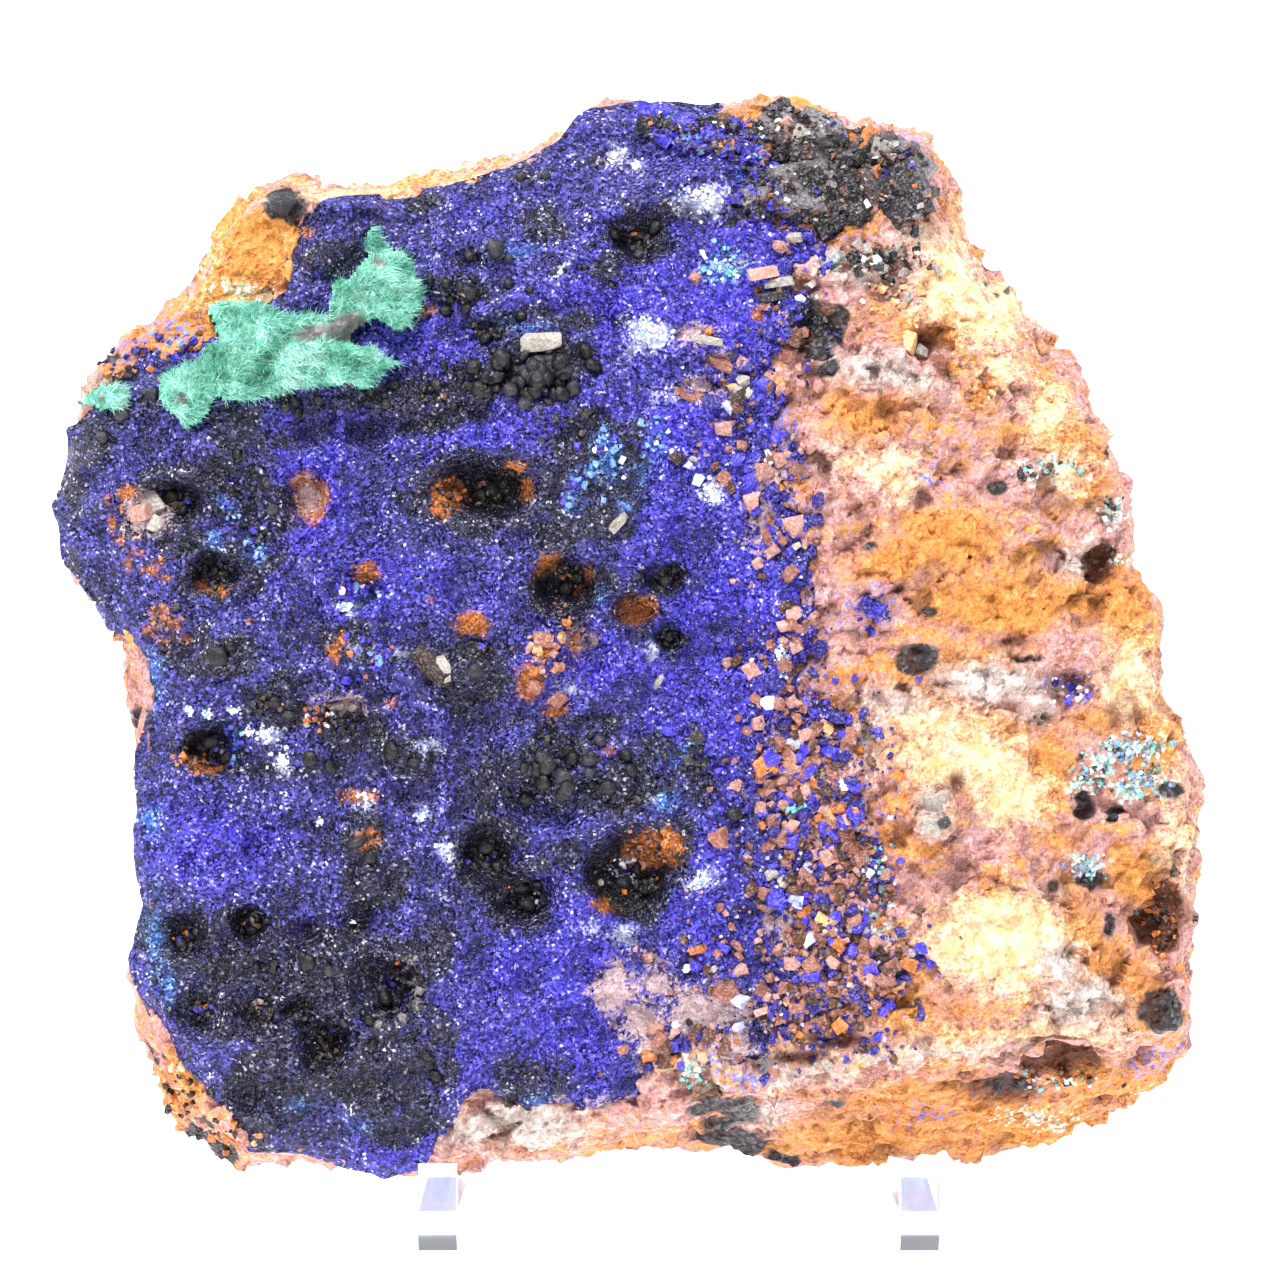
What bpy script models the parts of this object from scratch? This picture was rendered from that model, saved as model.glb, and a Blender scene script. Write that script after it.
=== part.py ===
"""Azurite on its matrix rock, leaning on a clear easel.

World frame: metres, +Z up. The blue face looks towards -Y and a little up, and the origin is
on the ground, under the middle of the object's bounding box.

The stone is drawn in a sight frame, in millimetres: u to the right, w up the face and y into
the stone, with the middle of the face at the origin. Its outlines are those seen from
SIGHT_DISTANCE in front of the face, so what lies at depth y is (1 + y / SIGHT_DISTANCE)
times as large as it is drawn. The last step applies that, leans the face back by LEAN and
stands it on the easel.
"""

import math
import random

import bmesh
import bpy
import numpy as np
from mathutils import Matrix, Vector, noise
from mathutils.bvhtree import BVHTree

MM = 0.001

# Driving dimensions, in millimetres and degrees
SIGHT_DISTANCE = 300.0
LEAN = 18.0
ROCK_DEPTH = 21.0
BACK_SWELL = 2.4
CRUST_PROUD = 0.5
CRUST_THICKNESS = 1.2
MALACHITE_THICKNESS = 1.0
CLEARANCE = 0.45

LEG_WIDTH = 2.4
SHEET_THICKNESS = 3.0
STAND_CENTRE = 2.4
LEG_SPREAD = 15.6
LEG_SPLAY = 14.1
STAND_HEAD = 23.0
HOOK_REACH = 2.6
HOOK_TIP = 3.0
GROUND_LEVEL = -58.0
PROP_REACH = 52.0

# Triangles each solid is thinned to
ROCK_FACES = 3900
CRUST_FACES = 2800
MALACHITE_FACES = 520
EDGE_MALACHITE_FACES = 110

# Rim of the stone's front face and of its back, clockwise from the notch in the top edge
FRONT_RIM = [
    (-3.0, 33.4), (0.0, 33.5), (3.8, 33.3), (7.2, 33.6), (10.3, 33.8), (12.2, 32.6),
    (15.0, 32.0), (17.6, 31.1), (18.6, 28.8), (18.2, 25.9), (19.7, 22.8), (22.5, 19.7),
    (25.0, 16.4), (27.2, 13.9), (28.9, 12.4), (30.0, 9.4), (30.2, 6.9), (30.8, 3.8),
    (32.1, 1.2), (32.4, -0.6), (31.8, -3.8), (33.8, -6.1), (34.6, -8.2), (34.5, -11.2),
    (33.9, -14.2), (34.1, -16.6), (33.9, -20.0), (34.4, -22.8), (34.0, -24.8),
    (29.4, -25.0), (25.0, -24.8), (20.6, -25.3), (16.2, -26.4), (11.9, -27.2),
    (7.5, -28.0), (3.8, -28.9), (0.6, -29.6), (-2.5, -30.4), (-5.0, -31.4), (-8.1, -31.9),
    (-11.2, -32.1), (-13.4, -32.7), (-15.9, -33.4), (-18.8, -32.7), (-21.2, -32.0),
    (-24.1, -31.9), (-25.9, -30.5), (-27.8, -28.1), (-29.4, -26.1), (-30.6, -23.8),
    (-31.5, -21.6), (-31.8, -19.9), (-30.8, -16.4), (-31.5, -13.6), (-31.2, -10.0),
    (-31.2, -7.2), (-30.9, -3.8), (-31.4, -0.9), (-33.0, 0.9), (-34.4, 2.9), (-35.8, 5.0),
    (-36.4, 8.4), (-35.8, 10.6), (-35.5, 13.1), (-35.0, 15.1), (-33.4, 16.8), (-32.2, 18.4),
    (-29.4, 20.1), (-27.2, 22.5), (-25.9, 25.0), (-24.1, 27.1), (-22.2, 28.1),
    (-19.4, 27.6), (-15.0, 28.0), (-11.2, 28.5), (-7.8, 29.5), (-5.0, 31.1), (-3.5, 32.9),
]
BACK_RIM = [
    (-2.5, 33.0), (2.5, 33.0), (7.2, 33.0), (10.6, 33.2), (13.8, 32.2), (17.8, 31.4),
    (19.7, 29.4), (20.8, 25.3), (23.1, 22.2), (25.4, 19.2), (27.7, 17.6), (28.5, 14.4),
    (30.1, 10.0), (30.9, 5.0), (32.2, 1.2), (32.0, -3.1), (33.8, -5.9), (34.8, -10.0),
    (34.8, -13.9), (34.2, -17.5), (34.4, -20.6), (34.3, -23.2), (34.0, -25.8),
    (33.0, -28.0), (30.0, -30.0), (26.4, -31.8), (21.6, -33.0), (17.2, -33.2),
    (13.1, -33.1), (9.4, -32.8), (6.2, -32.0), (1.2, -32.1), (-3.4, -32.3), (-6.9, -32.4),
    (-9.8, -32.4), (-11.0, -32.9), (-12.6, -33.0), (-13.8, -32.8), (-15.9, -32.6),
    (-18.4, -32.4), (-20.9, -32.3), (-23.9, -32.7), (-26.8, -32.2), (-28.4, -31.1),
    (-29.7, -29.1), (-30.6, -26.4), (-31.5, -23.8), (-31.2, -20.3), (-30.5, -16.2),
    (-30.9, -11.9), (-31.5, -6.2), (-31.9, -3.1), (-32.0, -0.9), (-32.6, 1.2),
    (-33.9, 3.4), (-34.8, 7.5), (-34.5, 11.9), (-34.1, 15.3), (-32.9, 17.5), (-30.0, 20.1),
    (-27.8, 22.5), (-26.6, 25.0), (-25.0, 27.4), (-23.1, 28.2), (-19.4, 28.2),
    (-15.0, 28.9), (-11.6, 29.7), (-8.8, 30.1), (-5.2, 31.0), (-3.5, 32.4),
]

# Edge of the blue crust, clockwise from the same notch: it runs over the stone's top, left
# and lower rims, and ends in a ragged line down the right of the face
CRUST_RIM = [
    (-3.5, 33.0), (0.0, 33.6), (3.8, 33.4), (6.2, 33.4), (7.0, 31.9), (6.8, 30.0),
    (8.4, 29.7), (8.8, 25.9), (12.2, 25.0), (11.4, 23.6), (10.0, 22.2), (12.8, 21.2),
    (12.8, 19.1), (10.0, 18.1), (9.4, 16.2), (10.0, 12.5), (9.7, 10.0), (10.9, 7.5),
    (11.2, 3.8), (10.8, 1.2), (11.6, -0.9), (10.0, -2.8), (12.6, -3.9), (13.1, -5.9),
    (12.4, -8.8), (13.1, -11.2), (15.6, -13.1), (15.8, -15.9), (14.2, -17.8),
    (13.1, -20.3), (10.0, -22.2), (8.8, -25.6), (5.9, -27.8), (3.4, -25.0), (0.0, -27.2),
    (0.0, -28.8), (-2.5, -29.6), (-4.1, -29.1), (-7.0, -29.4), (-8.2, -28.5),
    (-10.0, -27.8), (-11.1, -28.5), (-11.8, -30.1), (-12.6, -31.6), (-13.8, -32.9),
    (-15.9, -33.6), (-18.8, -32.8), (-21.4, -32.0), (-24.4, -31.9), (-25.5, -30.0),
    (-27.4, -27.8), (-29.1, -25.6), (-30.5, -23.4), (-31.6, -21.6), (-31.9, -19.9),
    (-31.0, -16.4), (-31.6, -13.6), (-31.4, -10.0), (-31.4, -7.2), (-30.6, -3.8),
    (-30.5, -1.2), (-31.6, 0.0), (-33.1, 0.8), (-34.5, 2.9), (-36.0, 5.0), (-36.6, 8.4),
    (-35.9, 10.6), (-35.7, 13.1), (-34.8, 13.8), (-33.0, 15.9), (-30.6, 18.0),
    (-28.8, 17.5), (-27.2, 18.4), (-21.9, 21.9), (-22.0, 24.1), (-21.2, 26.1),
    (-19.7, 27.5), (-15.0, 27.9), (-11.2, 28.6), (-7.8, 29.6), (-5.1, 31.2),
]
MALACHITE_RIM = [
    (-30.0, 16.5), (-27.8, 17.6), (-26.5, 18.8), (-27.2, 20.5), (-26.4, 21.1),
    (-23.6, 21.1), (-21.8, 20.3), (-19.5, 20.5), (-19.5, 22.0), (-17.2, 23.6),
    (-17.4, 25.2), (-16.6, 26.1), (-15.9, 24.6), (-14.6, 24.2), (-14.0, 22.8),
    (-13.4, 21.9), (-14.2, 19.5), (-15.4, 19.4), (-16.5, 20.1), (-18.4, 18.6),
    (-16.8, 18.4), (-14.9, 17.4), (-15.9, 16.6), (-17.0, 15.7), (-20.0, 15.9),
    (-21.4, 15.6), (-24.4, 14.9), (-26.6, 15.0), (-27.2, 13.9), (-28.4, 13.2),
    (-29.4, 14.1), (-30.1, 14.8),
]
EDGE_MALACHITE_RIM = [
    (-35.2, 14.9), (-33.8, 16.0), (-32.6, 16.4), (-31.9, 15.5), (-32.2, 14.5), (-33.9, 14.2),
]

# Swellings (+) and hollows (-) of the bare rock: u, w, half width, half height, height
ROCK_FORMS = [
    (22.5, -18.8, 4.8, 4.0, 1.3), (20.0, -7.5, 5.0, 4.0, 0.6), (15.3, 16.4, 3.6, 1.6, 0.8),
    (15.9, 10.3, 2.6, 2.4, 0.4), (17.4, -1.1, 1.5, 1.5, 0.45), (17.8, 18.4, 1.7, 1.2, -1.3),
    (21.9, 15.9, 1.5, 1.4, 0.8), (28.8, 4.7, 1.5, 1.3, -1.4), (29.1, 11.6, 0.9, 0.9, -0.8),
    (25.3, 10.0, 2.0, 1.2, 0.4), (26.9, -3.4, 1.7, 1.9, -1.0), (29.4, -8.8, 2.8, 2.9, 0.5),
    (27.8, -10.3, 0.8, 0.9, -0.9), (29.5, -10.9, 0.8, 0.8, -0.9), (18.1, -10.9, 1.5, 1.4, 0.9),
    (28.1, -15.0, 1.2, 0.9, -0.6), (32.6, -17.5, 1.6, 2.4, -1.7), (32.5, -23.1, 1.6, 1.4, 0.6),
    (15.6, -20.8, 1.3, 1.3, 0.7), (-7.8, -30.3, 3.6, 1.6, 0.4), (-26.9, -30.6, 1.3, 1.0, 0.9),
    (-22.4, 27.2, 1.5, 1.1, 1.0), (-25.4, 23.6, 2.6, 3.0, -0.6), (14.4, 2.2, 1.4, 1.4, 0.7),
]

# Ringed pits of the crust: u, w, half width, half height, depth
CRUST_PITS = [
    (-10.0, 9.4, 3.7, 2.1, 0.9), (-26.6, 4.1, 1.7, 1.6, 0.8), (-29.5, 8.6, 2.1, 1.6, 0.6),
    (-4.7, 3.4, 2.2, 2.0, 0.8), (-0.3, 1.9, 1.5, 1.1, 0.6), (1.6, 3.8, 1.5, 1.5, 0.6),
    (1.8, 0.3, 1.1, 1.1, 0.4), (-18.8, -4.7, 1.4, 1.4, 0.6), (-26.6, -6.9, 2.0, 2.1, 0.9),
    (-9.6, -13.6, 2.1, 2.2, 0.8), (-7.5, -16.2, 2.1, 2.0, 0.7), (-0.6, -14.4, 3.3, 3.0, 0.9),
    (-15.9, -21.6, 2.3, 2.4, 0.6), (-28.4, -18.7, 1.8, 1.8, 0.5), (-24.4, -17.8, 1.4, 1.4, 0.6),
    (-27.5, -23.1, 1.7, 1.7, 0.5), (-19.7, -25.0, 2.0, 2.0, 0.7), (0.0, 25.2, 2.2, 2.2, 0.5),
    (11.3, 19.8, 1.9, 1.6, 0.6), (-20.8, 9.0, 1.5, 1.9, 0.5), (-17.8, 3.1, 1.9, 1.6, 0.5),
]

# Dark knobs of the crust: u, w, radius, height
CRUST_KNOBS = [
    (-9.8, 16.8, 1.1, 0.9), (-8.0, 18.2, 1.0, 0.8), (-6.6, 16.4, 1.2, 0.9), (-5.2, 17.9, 1.0, 0.8),
    (-4.0, 16.6, 0.9, 0.7), (-8.4, 14.8, 1.0, 0.7), (-10.2, 15.2, 1.0, 0.8), (-12.6, 22.4, 1.0, 0.9),
    (-10.8, 21.9, 0.9, 0.7), (-9.3, 24.4, 1.0, 0.7), (-20.0, 23.8, 1.2, 0.8), (-7.4, 29.0, 0.8, 0.6),
    (-7.6, -7.4, 1.6, 0.8), (-5.2, -9.0, 1.5, 0.8), (-3.4, -7.8, 1.2, 0.7), (-1.4, -8.8, 1.3, 0.7),
    (-14.7, -7.2, 1.7, 0.8), (-20.4, -7.5, 1.1, 0.6), (-10.6, -1.8, 1.5, 0.9), (-26.6, -0.9, 1.6, 0.8),
    (-22.8, -3.8, 1.5, 0.8), (-17.8, -12.4, 1.3, 0.7), (-16.8, -15.0, 1.2, 0.6),
    (-20.6, -20.3, 1.2, 0.7), (-34.6, 11.6, 1.2, 0.7), (-34.0, 8.2, 1.2, 0.6), (-32.2, 13.2, 1.0, 0.6),
    (-21.9, 14.4, 0.8, 0.5), (-12.8, -24.2, 1.0, 0.5), (-23.6, -26.4, 1.4, 0.6),
    (-27.2, 12.4, 1.1, 0.5), (4.4, -6.2, 1.2, 0.5),
]

# Block crystals that stand on the crust: u, w, length, width, height, turn in degrees
CRUST_CRYSTALS = [
    (-6.1, 18.6, 2.6, 1.2, 1.2, 8), (-13.1, -1.4, 3.6, 1.5, 1.5, -12), (-30.7, 8.2, 2.6, 2.4, 1.3, 35),
    (-1.3, 7.3, 1.9, 0.8, 0.9, 58), (4.2, 27.4, 3.4, 1.9, 1.2, -20), (8.0, 22.5, 2.8, 1.3, 1.0, 12),
    (5.4, 23.4, 2.4, 1.9, 0.8, 70), (0.7, 19.4, 2.4, 1.6, 0.8, -35), (3.8, 18.8, 2.3, 1.0, 0.9, 15),
    (-1.4, 30.3, 1.5, 1.1, 0.9, 20), (4.4, 9.4, 1.9, 1.9, 0.7, 40), (9.0, -1.2, 1.2, 2.4, 0.9, 5),
    (-5.8, -6.2, 1.5, 3.2, 1.1, 24), (5.5, -21.9, 2.2, 1.6, 0.6, -14), (1.3, -19.6, 1.8, 1.3, 0.7, 32),
    (-18.9, -5.1, 1.9, 1.1, 0.9, 30), (-23.4, -31.0, 1.7, 1.2, 0.7, 15),
]

# Corner of the face where dark plates lie like scales
PLATE_CORNER = [(7.6, 32.6), (12.0, 31.8), (17.2, 30.2), (17.9, 26.4), (9.6, 27.0), (8.6, 29.4)]


def smooth(value):
    """Ease from 0 to 1 as value goes from 0 to 1."""
    clipped = min(1.0, max(0.0, value))
    return clipped * clipped * (3.0 - 2.0 * clipped)


def rim_distance(u, w, rim):
    """Distance to a closed rim, positive inside it."""
    start = np.array(rim)
    along = np.roll(start, -1, axis=0) - start
    offset = np.array((u, w)) - start
    share = np.clip((offset * along).sum(axis=1) / (along * along).sum(axis=1), 0.0, 1.0)
    nearest = np.hypot(*(offset - along * share[:, None]).T).min()
    crosses = (start[:, 1] > w) != (np.roll(start[:, 1], -1) > w)
    rise = np.where(along[:, 1] == 0.0, 1.0, along[:, 1])
    reach = start[:, 0] + (w - start[:, 1]) * along[:, 0] / rise
    inside = np.count_nonzero(crosses & (u < reach)) % 2 == 1
    return nearest if inside else -nearest


def ripple(u, w, size, seed=0.0):
    """Soft unevenness between -1 and 1, with swells about size across."""
    return noise.noise(Vector((u / size, w / size, seed)))


def oval(u, w, form):
    """How far a point is from a form's middle, in half widths."""
    return math.hypot((u - form[0]) / form[2], (w - form[1]) / form[3])


def face_depth(u, w):
    """Depth of the broken face the crust grew on: flat in the middle, falling away outwards."""
    depth = 0.010 * max(0.0, w - 8.0) ** 2
    depth += 0.020 * max(0.0, -u - 24.0) ** 2
    depth += 0.006 * max(0.0, u - 8.0) ** 2
    depth += 0.016 * max(0.0, u - 12.0) * max(0.0, w - 8.0)
    depth += 0.020 * max(0.0, -w - 24.0) ** 2
    return depth + 0.35 * ripple(u, w, 9.0)


def rock_relief(u, w):
    """Height of the bare rock over its face."""
    height = 0.35 * ripple(u, w, 2.6, 3.0) + 0.2 * ripple(u, w, 1.3, 5.0)
    for form in ROCK_FORMS:
        reach = oval(u, w, form)
        if reach < 1.4:
            height += form[4] * smooth((1.4 - reach) / 0.8)
    return height


def crust_relief(u, w):
    """Height of the crust's druse over its even skin: ringed pits and round knobs."""
    height = 0.22 * ripple(u, w, 2.2, 8.0) + 0.3 * ripple(u, w, 6.0, 9.0)
    for pit in CRUST_PITS:
        reach = oval(u, w, pit)
        if reach < 1.6:
            height -= pit[4] * smooth((1.0 - reach) / 0.6)
            height += 0.35 * math.exp(-((reach - 1.12) / 0.22) ** 2)
    for knob in CRUST_KNOBS:
        reach = math.hypot(u - knob[0], w - knob[1]) / knob[2]
        if reach < 1.0:
            height += knob[3] * math.sqrt(1.0 - reach * reach)
    return height


def evaluated(mesh, settings):
    """The mesh as one modifier leaves it."""
    holder = bpy.data.objects.new("holder", mesh)
    bpy.context.scene.collection.objects.link(holder)
    modifier = holder.modifiers.new("shape", settings.pop("type"))
    for name, value in settings.items():
        setattr(modifier, name, value)
    bpy.context.view_layer.update()
    depsgraph = bpy.context.evaluated_depsgraph_get()
    shaped = bpy.data.meshes.new_from_object(holder.evaluated_get(depsgraph))
    bpy.data.objects.remove(holder)
    return shaped


def even_skin(bm, voxel):
    """Free bm into a mesh of small even faces."""
    mesh = bpy.data.meshes.new("skin")
    bm.to_mesh(mesh)
    bm.free()
    return evaluated(mesh, {"type": "REMESH", "mode": "VOXEL", "voxel_size": voxel})


def thinned(mesh, faces):
    """The mesh with about that many triangles left."""
    triangles = sum(len(polygon.vertices) - 2 for polygon in mesh.polygons)
    ratio = faces / triangles
    return evaluated(mesh, {"type": "DECIMATE", "ratio": ratio, "use_collapse_triangulate": True})


def main_shell(mesh):
    """The mesh without the slivers that a union can leave beside its one large shell."""
    bm = bmesh.new()
    bm.from_mesh(mesh)
    unseen = set(bm.verts)
    shells = []
    while unseen:
        shell, front = set(), [unseen.pop()]
        while front:
            vert = front.pop()
            shell.add(vert)
            near = {edge.other_vert(vert) for edge in vert.link_edges} & unseen
            unseen -= near
            front.extend(near)
        shells.append(shell)
    shells.sort(key=len)
    for shell in shells[:-1]:
        bmesh.ops.delete(bm, geom=list(shell), context="VERTS")
    bm.to_mesh(mesh)
    bm.free()
    return mesh


def fused(mesh, bm):
    """The mesh with the closed forms in bm grown onto it, as one solid."""
    extra = bpy.data.meshes.new("extra")
    bm.to_mesh(extra)
    bm.free()
    grown = bpy.data.objects.new("grown", extra)
    grown.hide_render = True
    bpy.context.scene.collection.objects.link(grown)
    result = evaluated(mesh, {"type": "BOOLEAN", "operation": "UNION", "object": grown})
    bpy.data.objects.remove(grown)
    return main_shell(result)


def cut(mesh, bm):
    """The mesh without what the closed forms in bm cover."""
    extra = bpy.data.meshes.new("extra")
    bm.to_mesh(extra)
    bm.free()
    cutter = bpy.data.objects.new("cutter", extra)
    cutter.hide_render = True
    bpy.context.scene.collection.objects.link(cutter)
    result = evaluated(mesh, {"type": "BOOLEAN", "operation": "DIFFERENCE", "object": cutter})
    bpy.data.objects.remove(cutter)
    return result


def slab(rim, voxel, front, back):
    """An even-skinned slab of the rim's outline between two depths."""
    bm = bmesh.new()
    face = bm.faces.new([bm.verts.new((u, front, w)) for u, w in rim])
    grown = bmesh.ops.extrude_face_region(bm, geom=[face])["geom"]
    moved = [item for item in grown if isinstance(item, bmesh.types.BMVert)]
    bmesh.ops.translate(bm, vec=(0.0, back - front, 0.0), verts=moved)
    bmesh.ops.recalc_face_normals(bm, faces=bm.faces)
    return even_skin(bm, voxel)


def chip(bm, centre, size, turn, seed):
    """Add one flat-faced grain: the hull of a few points scattered over an ellipsoid."""
    choice = random.Random(seed)
    lean = Matrix.Rotation(math.radians(turn), 3, "Y")
    tip = Matrix.Rotation(choice.uniform(-0.35, 0.35), 3, "X")
    points = []
    for step in range(11):
        height = 1.0 - 2.0 * (step + 0.5) / 11.0
        angle = 2.4 * step + choice.uniform(-0.4, 0.4)
        ring = math.sqrt(1.0 - height * height)
        spot = Vector((ring * math.cos(angle), ring * math.sin(angle), height))
        spot = Vector(spot[axis] * size[axis] * 0.5 for axis in range(3))
        points.append(bm.verts.new(Vector(centre) + lean @ tip @ spot))
    hull = bmesh.ops.convex_hull(bm, input=points)
    loose = [item for item in hull["geom_interior"] if isinstance(item, bmesh.types.BMVert)]
    bmesh.ops.delete(bm, geom=loose, context="VERTS")


def block(bm, centre, size, turn, seed):
    """Add one block crystal: a box with its edges cut and its top a little smaller."""
    choice = random.Random(seed)
    made = bmesh.ops.create_cube(bm, size=1.0)["verts"]
    for vert in made:
        taper = 0.82 if vert.co.y < 0.0 else 1.0
        vert.co = Vector((vert.co.x * size[0] * taper, vert.co.y * size[1], vert.co.z * size[2] * taper))
    edges = list({edge for vert in made for edge in vert.link_edges})
    bevelled = bmesh.ops.bevel(
        bm, geom=edges, offset=0.16 * min(size), affect="EDGES", segments=1, profile=0.5, material=-1
    )
    corners = list({vert for face in bevelled["faces"] for vert in face.verts})
    lean = Matrix.Rotation(math.radians(turn), 3, "Y") @ Matrix.Rotation(choice.uniform(-0.2, 0.2), 3, "X")
    bmesh.ops.rotate(bm, matrix=lean, cent=(0.0, 0.0, 0.0), verts=corners)
    bmesh.ops.translate(bm, vec=centre, verts=corners)


def surface_of(*meshes):
    """A ray-casting tree over some meshes, read as depth over (u, w)."""
    bm = bmesh.new()
    for mesh in meshes:
        bm.from_mesh(mesh)
    tree = BVHTree.FromBMesh(bm)
    bm.free()
    return tree


def top_depth(tree, u, w, spread, missing):
    """The shallowest depth of a surface near (u, w), or missing where there is none."""
    steps = [(0.0, 0.0), (1.0, 0.0), (-1.0, 0.0), (0.0, 1.0), (0.0, -1.0)]
    depths = []
    for du, dw in steps:
        hit = tree.ray_cast(Vector((u + du * spread, -30.0, w + dw * spread)), Vector((0.0, 1.0, 0.0)))
        if hit[0] is not None:
            depths.append(hit[0].y)
    return min(depths, default=missing)


def make_rock():
    """The matrix: a flat-faced block broken on all its other sides."""
    bm = bmesh.new()
    loops = []
    for rim, depth in ((FRONT_RIM, 0.0), (BACK_RIM, ROCK_DEPTH)):
        face = bm.faces.new([bm.verts.new((u, depth, w)) for u, w in rim])
        loops.extend(face.edges)
    bmesh.ops.bridge_loops(bm, edges=loops)
    bmesh.ops.recalc_face_normals(bm, faces=bm.faces)
    mesh = even_skin(bm, 0.7)
    facing = [vert.normal.copy() for vert in mesh.vertices]
    for vert, normal in zip(mesh.vertices, facing):
        u, y, w = vert.co
        through = min(1.0, max(0.0, y / ROCK_DEPTH))
        front = smooth(1.0 - y / 1.6)
        back = smooth((y - ROCK_DEPTH) / 1.2 + 1.0)
        side = (1.0 - front) * (1.0 - back)
        shift = Vector((0.0, face_depth(u, w) * (1.0 - through), 0.0))
        if front > 0.0:
            covered = smooth((rim_distance(u, w, CRUST_RIM) + 0.6) / 0.9)
            sunk = covered * (CRUST_THICKNESS + CLEARANCE - CRUST_PROUD + 0.25)
            shift.y += front * (sunk - (1.0 - covered) * rock_relief(u, w))
        if back > 0.0:
            middle = smooth(1.2 - math.hypot(u, w) / 34.0)
            broken = 0.9 * ripple(u, w, 7.0, 12.0) + 0.4 * ripple(u, w, 3.0, 13.0) - 0.6
            shift.y += back * min(BACK_SWELL, BACK_SWELL * middle + broken)
        if side > 0.0:
            layered = ripple(u + y, 3.0 * w, 8.0, 20.0) + 0.7 * ripple(u + w, y, 3.4, 21.0)
            outward = Vector((normal.x, 0.0, normal.z))
            shift += outward * side * (0.55 * layered - 0.1)
            pocket = math.hypot((u - 26.3) / 3.4, (y - 6.0) / 4.5)
            if w < -22.0 and pocket < 1.0:
                shift -= outward * side * 2.0 * smooth(1.5 * (1.0 - pocket))
        vert.co += shift
    return thinned(mesh, ROCK_FACES)


def add_rock_grains(mesh):
    """Angular grains along the crust's ragged edge, and dark plates in the top corner."""
    tree = surface_of(mesh)
    choice = random.Random(11)
    bm = bmesh.new()
    placed = []
    for attempt in range(900):
        u, w = choice.uniform(9.5, 18.0), choice.uniform(-27.0, 18.0)
        size = choice.uniform(1.0, 1.8)
        clear = min((math.hypot(u - x, w - z) for x, z in placed), default=9.0)
        if clear < 1.9 or not -3.4 < rim_distance(u, w, CRUST_RIM) < -0.6 - 0.5 * size:
            continue
        placed.append((u, w))
        depth = top_depth(tree, u, w, 0.2, 0.0)
        shape = (size, size * 0.8, size * choice.uniform(0.6, 0.9))
        chip(bm, (u, depth + 0.05, w), shape, choice.uniform(0.0, 180.0), len(placed))
    placed = []
    for attempt in range(300):
        u, w = choice.uniform(8.0, 18.0), choice.uniform(26.0, 32.6)
        clear = min((math.hypot(u - x, w - z) for x, z in placed), default=9.0)
        beyond = rim_distance(u, w, CRUST_RIM)
        if clear < 1.7 or rim_distance(u, w, PLATE_CORNER) < 0.2 or beyond > -1.5:
            continue
        placed.append((u, w))
        depth = top_depth(tree, u, w, 0.3, 0.0)
        shape = (choice.uniform(1.6, 2.1), 1.1, choice.uniform(0.9, 1.4))
        block(bm, (u, depth - 0.05, w), shape, choice.uniform(-30.0, 50.0), 100 + len(placed))
    return fused(mesh, bm)


def make_crust(rock):
    """The druse: a thin skin over the rock's face, with pits, knobs and block crystals."""
    tree = surface_of(rock)
    mesh = slab(CRUST_RIM, 0.36, 0.0, CRUST_THICKNESS)
    middle = CRUST_THICKNESS / 2.0
    for vert in mesh.vertices:
        u, y, w = vert.co
        depth = face_depth(u, w) - CRUST_PROUD
        share = smooth((y / CRUST_THICKNESS - 0.2) / 0.6)
        edge = smooth(rim_distance(u, w, CRUST_RIM) / 0.9)
        top = depth - edge * crust_relief(u, w) + 0.3 * (1.0 - edge)
        floor = top_depth(tree, u, w, 0.7, depth + CRUST_THICKNESS + CLEARANCE) - CLEARANCE
        vert.co.y = (1.0 - share) * min(top, floor - 0.35) + share * floor
        if abs(y - middle) < 0.3 and edge < 0.6:
            vert.co.y = (min(top, floor - 0.35) + floor) / 2.0
    mesh = thinned(mesh, CRUST_FACES)
    tree = surface_of(mesh)
    bm = bmesh.new()
    for number, (u, w, length, width, height, turn) in enumerate(CRUST_CRYSTALS):
        depth = top_depth(tree, u, w, 0.3, 0.0)
        block(bm, (u, depth - 0.2 * height, w), (length, height, width), turn, 40 + number)
    return fused(mesh, bm)


def make_malachite(rim, faces, ground):
    """A mat of fibres as one low pad that follows what it lies on."""
    mesh = slab(rim, 0.3, 0.0, MALACHITE_THICKNESS)
    for vert in mesh.vertices:
        u, y, w = vert.co
        floor = top_depth(ground, u, w, 0.55, face_depth(u, w) - CRUST_PROUD) - 0.4
        edge = smooth(rim_distance(u, w, rim) / 0.8)
        swell = 0.45 + 0.55 * edge + 0.35 * edge * ripple(u, w, 1.6, 30.0)
        share = 1.0 - y / MALACHITE_THICKNESS
        vert.co.y = floor - share * swell * MALACHITE_THICKNESS
    return thinned(mesh, faces)


def seen_true(mesh):
    """Turn drawn sizes into real ones: what lies deeper is larger than it is drawn."""
    for vert in mesh.vertices:
        scale = 1.0 + vert.co.y / SIGHT_DISTANCE
        vert.co = Vector((vert.co.x * scale, vert.co.y, vert.co.z * scale))


def lowest_between(mesh, left, right):
    """Lowest point of a mesh between two upright lines."""
    return min(vert.co.z for vert in mesh.vertices if left < vert.co.x < right)


def leg_offset(height):
    """Half the distance between the two front legs' middles, at a height on the sheet."""
    return LEG_SPREAD - (height + 36.9) * math.tan(math.radians(LEG_SPLAY))


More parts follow.
